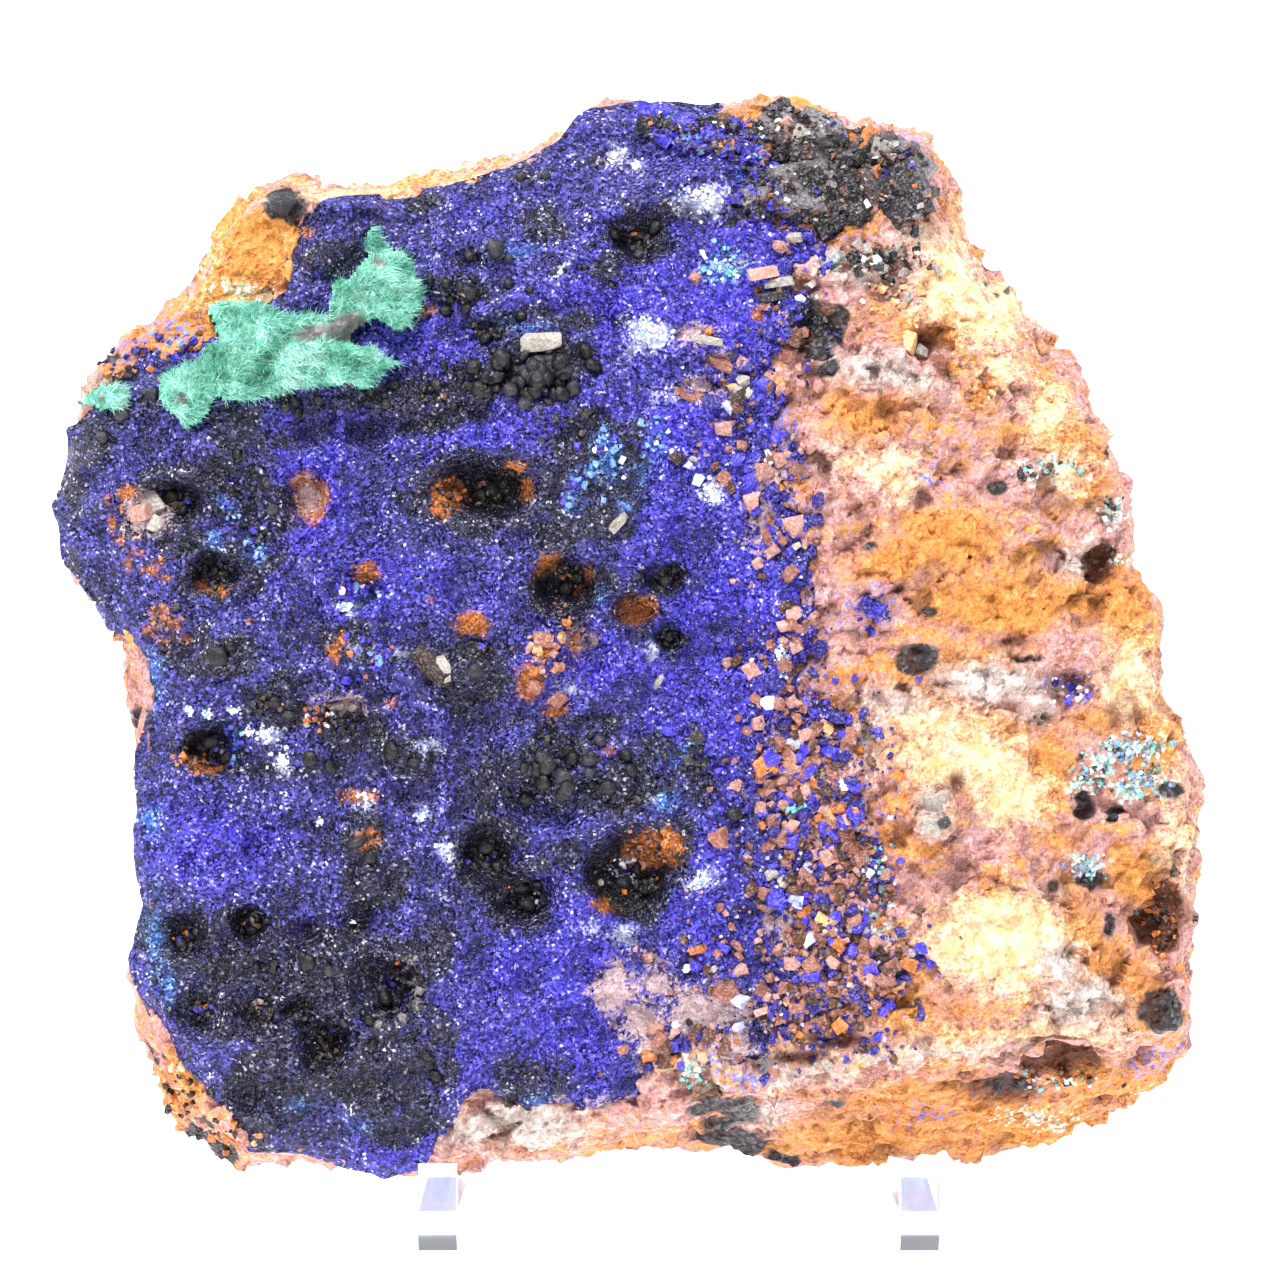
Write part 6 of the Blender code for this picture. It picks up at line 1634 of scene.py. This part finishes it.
sway = draw.normal(size=len(spots)) * 0.75 + 1.6 * ripple(spots, 0.7, 55)
comb = np.column_stack((
    comb[:, 0] * np.cos(sway) - comb[:, 1] * np.sin(sway),
    comb[:, 0] * np.sin(sway) + comb[:, 1] * np.cos(sway)))
lift = draw.uniform(*NEEDLE_LIFT, len(spots))
axes = pointing(draw, np.column_stack((comb[:, 0], -lift, comb[:, 1])))
thick = draw.uniform(*NEEDLE_THICKNESS, len(spots))
sizes = np.column_stack((thick, thick, draw.uniform(*NEEDLE_LENGTH, len(spots))))
needles = repeated(
    "malachite_needles", needle_shape, spots, axes, sizes,
    tone=np.clip(draw.normal(0.5, 0.27, len(spots)) + 0.35 * ripple(spots, 0.9, 56), 0.0, 1.0),
    gap=np.full(len(spots), -9.0))
show(mat_mesh.name, mat_mesh, malachite_material, "malachite", "malachite_mat",
     "malachite_rim_mat")
show(needles.name, needles, malachite_material, "malachite")


# Display stand: a small clear acrylic easel, cut from cast sheet with polished edges. Its
# front feet turn up into hooks that hold the stone, and a prop spreads behind.
stand_material, start, spot, shader = finish_of(
    "clear_acrylic", IOR=1.49, Transmission_Weight=1.0, Coat_Weight=0.0)
haze = start.cloud(spot, 6.0, 2.0)
feed(start, shader, Base_Color=haze.blend(colour(214, 229, 253), colour(236, 244, 255)),
     Roughness=0.02 + haze * 0.06)
stand = frame["nodes"]["display_stand"]
stand.data.materials.clear()
stand.data.materials.append(stand_material)


# Room: a pale floor that runs back out of sight, three broad soft lamps, a small bright one
# that makes the crystals glint, and the camera square to the blue face.
CAMERA_LENS = 135.0
CAMERA_SENSOR = 36.0
FLOOR_SIZE = 3.0
FLOOR_GLOW = 0.9
ROOM_GLOW = 0.2
WHITE_LIGHT = (1.0, 1.0, 1.0, 1.0)
LAMP_AIM = Vector((0.0, -0.01, 0.055))
# Square lamps that face the stone: name, place, width, power
LAMPS = [
    ("soft_top", (-0.1, -0.16, 0.7), 0.26, 7.6),
    ("back_left", (-0.5, 0.25, 0.4), 0.4, 4.0),
    ("back_right", (0.5, 0.25, 0.4), 0.4, 4.0),
    ("glint", (-0.12, -0.42, 0.4), 0.03, 0.9),
]
floor_material, start, spot, shader = finish_of("pale_floor", Roughness=0.7)
feed(start, shader, Base_Color=start.cloud(spot, 300.0).blend(
    colour(252, 252, 254), colour(255, 255, 255)))
shader.inputs["Emission Color"].default_value = WHITE_LIGHT
shader.inputs["Emission Strength"].default_value = FLOOR_GLOW
floor_material.cycles.emission_sampling = "NONE"
floor_bm = bmesh.new()
bmesh.ops.create_grid(floor_bm, x_segments=8, y_segments=8, size=FLOOR_SIZE)
floor_mesh = mesh_of("floor", floor_bm)
floor_mesh.materials.append(floor_material)
floor = bpy.data.objects.new("floor", floor_mesh)
bpy.context.scene.collection.objects.link(floor)

scene = bpy.context.scene
scene.world = bpy.data.worlds.new("white_room")
scene.world.use_nodes = True
sky = scene.world.node_tree.nodes["Background"]
sky.inputs["Color"].default_value = WHITE_LIGHT
sky.inputs["Strength"].default_value = ROOM_GLOW
for name, place, width, power in LAMPS:
    lamp = bpy.data.lights.new(name, "AREA")
    lamp.size = width
    lamp.energy = power
    holder = bpy.data.objects.new(name, lamp)
    holder.location = place
    holder.rotation_euler = (LAMP_AIM - Vector(place)).to_track_quat("-Z", "Y").to_euler()
    scene.collection.objects.link(holder)

camera_data = bpy.data.cameras.new("camera")
camera_data.lens = CAMERA_LENS
camera_data.sensor_width = CAMERA_SENSOR
camera_data.clip_start = 0.01
camera = bpy.data.objects.new("camera", camera_data)
camera.location = world(np.array([(0.0, -SIGHT_DISTANCE + 0.001, 0.0)]))[0]
camera.rotation_euler = (math.radians(90.0) - LEAN, 0.0, 0.0)
scene.collection.objects.link(camera)
scene.camera = camera
scene.view_settings.view_transform = "Standard"
